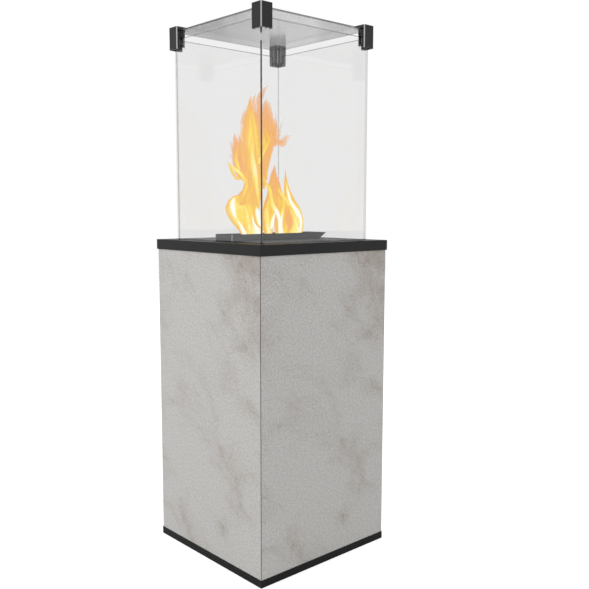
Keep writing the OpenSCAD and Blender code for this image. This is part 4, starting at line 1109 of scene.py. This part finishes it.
def tongue(number, name, x, softness, points):
    """one closed skin of gas round a tongue's middle line, with what the glow needs as attributes"""
    knots = [((0, y * mm, z * mm), half_width) for y, z, half_width, glow in points]
    skin = sweep(name, knots, mm, tongue_roundness)
    mesh = skin.data
    for value in ("glow", "rim", "rise", "soft"):
        mesh.attributes.new(value, "FLOAT", "POINT")
    mesh.attributes.new("flow", "FLOAT_VECTOR", "POINT")
    held = mesh.attributes
    rings = len(mesh.vertices) // ring_count
    length = 0.0
    middle = None
    for ring in range(rings):
        corners = [mesh.vertices[ring * ring_count + i] for i in range(ring_count)]
        last = middle
        middle = sum((corner.co for corner in corners), corners[0].co * 0) / ring_count
        length += (middle - last).length if last else 0.0
        half_width = max((corner.co - middle).length for corner in corners)
        step = ring / (rings - 1) * (len(points) - 1)
        low = min(int(step), len(points) - 2)
        glow = points[low][3] + (points[low + 1][3] - points[low][3]) * (step - low)
        rise = min(max((middle.z - flame_foot) / (flame_top - flame_foot), 0), 1)
        for i, corner in enumerate(corners):
            out = corner.co - middle
            side = math.copysign(math.hypot(out.y, out.z), out.y)
            index = ring * ring_count + i
            held["glow"].data[index].value = glow
            held["rim"].data[index].value = abs(side) / half_width
            held["rise"].data[index].value = rise
            held["soft"].data[index].value = softness
            held["flow"].data[index].vector = (side / streak_width, length / streak_length,
                                               number * streak_step)
        # the skin is pressed flat at its place across the trough and stands on the deck
        for corner in corners:
            corner.co.x = x * mm + corner.co.x * flame_flatness
            corner.co.z = max(corner.co.z, flame_foot)
    return skin


def carried(nodes, name, output="Fac"):
    """a value that the flame's own mesh carries"""
    reader = nodes.new("ShaderNodeAttribute")
    reader.attribute_name = name
    return reader.outputs[output]


def heat_colour(nodes, link, warmth):
    """the colour of burning gas, from dull orange over yellow to nearly white"""
    colours = nodes.new("ShaderNodeValToRGB")
    stops = colours.color_ramp.elements
    stops[0].position = 0.0
    stops[0].color = (0.82, 0.38, 0.16, 1)
    stops[1].position = 1.0
    stops[1].color = (1.0, 1.0, 0.86, 1)
    for position, colour in ((0.25, (0.86, 0.40, 0.12, 1)), (0.45, (0.91, 0.50, 0.06, 1)),
                             (0.62, (0.97, 0.68, 0.07, 1)), (0.82, (1.0, 0.84, 0.22, 1))):
        stop = stops.new(position)
        stop.color = colour
    link(warmth, colours.inputs["Fac"])
    return colours.outputs["Color"]


def flame_glow():
    """glowing gas: its colour by heat, with streaks that run along the tongues"""
    material, nodes, link, shader = new_finish("flame_glow")
    shader.inputs["Base Color"].default_value = (0, 0, 0, 1)
    shader.inputs["Specular IOR Level"].default_value = 0.0
    shader.inputs["Roughness"].default_value = 1.0
    rim = carried(nodes, "rim")
    rise = carried(nodes, "rise")
    glow = carried(nodes, "glow")
    soft = carried(nodes, "soft")
    inside = sum_of(nodes, link, rim, -1.0, 1.0)
    streaks = noise(nodes, link, carried(nodes, "flow", "Vector"), 1.0, 3, 0.9)
    wander = sum_of(nodes, link, streaks, 1.0, -0.5)
    # a tongue is cooler at its rim, and a soft one less so
    body = nodes.new("ShaderNodeMath")
    body.operation = "MAXIMUM"
    link(ramp(nodes, link, inside, 0.0, rim_reach), body.inputs[0])
    link(product(nodes, link, soft, soft_heat), body.inputs[1])
    heat = sum_of(nodes, link, body.outputs[0], 1.0 - rim_heat, rim_heat)
    warmth = sum_of(nodes, link, wander, streak_heat, product(nodes, link, glow, heat))
    link(heat_colour(nodes, link, warmth), shader.inputs["Emission Color"])
    seen = seen_directly(nodes, link)
    link(product(nodes, link, seen, flame_light), shader.inputs["Emission Strength"])
    # it covers best inside and low down, and tatters towards its tip
    lowness = sum_of(nodes, link, rise, -1.0, 1.0)
    cubed = product(nodes, link, product(nodes, link, lowness, lowness), lowness)
    crisp = sum_of(nodes, link, cubed, foot_edge, tip_edge)
    hard = sum_of(nodes, link, soft, -1.0, 1.0)
    edge = sum_of(nodes, link, soft, soft_edge, product(nodes, link, hard, crisp))
    torn = sum_of(nodes, link, product(nodes, link, rise, rise), tip_tatter, foot_tatter)
    tatter = product(nodes, link, wander, torn)
    thick = nodes.new("ShaderNodeMath")
    thick.operation = "ADD"
    thick.use_clamp = True
    link(product(nodes, link, inside, edge), thick.inputs[0])
    link(tatter, thick.inputs[1])
    fade = ramp(nodes, link, glow, 0.0, faint_glow)
    link(product(nodes, link, thick.outputs[0], fade), shader.inputs["Alpha"])
    return material


skins = [tongue(number, *parts) for number, parts in enumerate(tongues)]
bpy.ops.object.select_all(action="DESELECT")
for skin in skins:
    skin.select_set(True)
bpy.context.view_layer.objects.active = skins[0]
bpy.ops.object.join()
flames = bpy.context.object
flames.name = "flames"
# the flames show only where they are looked at, directly or through a pane
flames.visible_glossy = False
flames.data.materials.append(flame_glow())
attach(flames, "root")
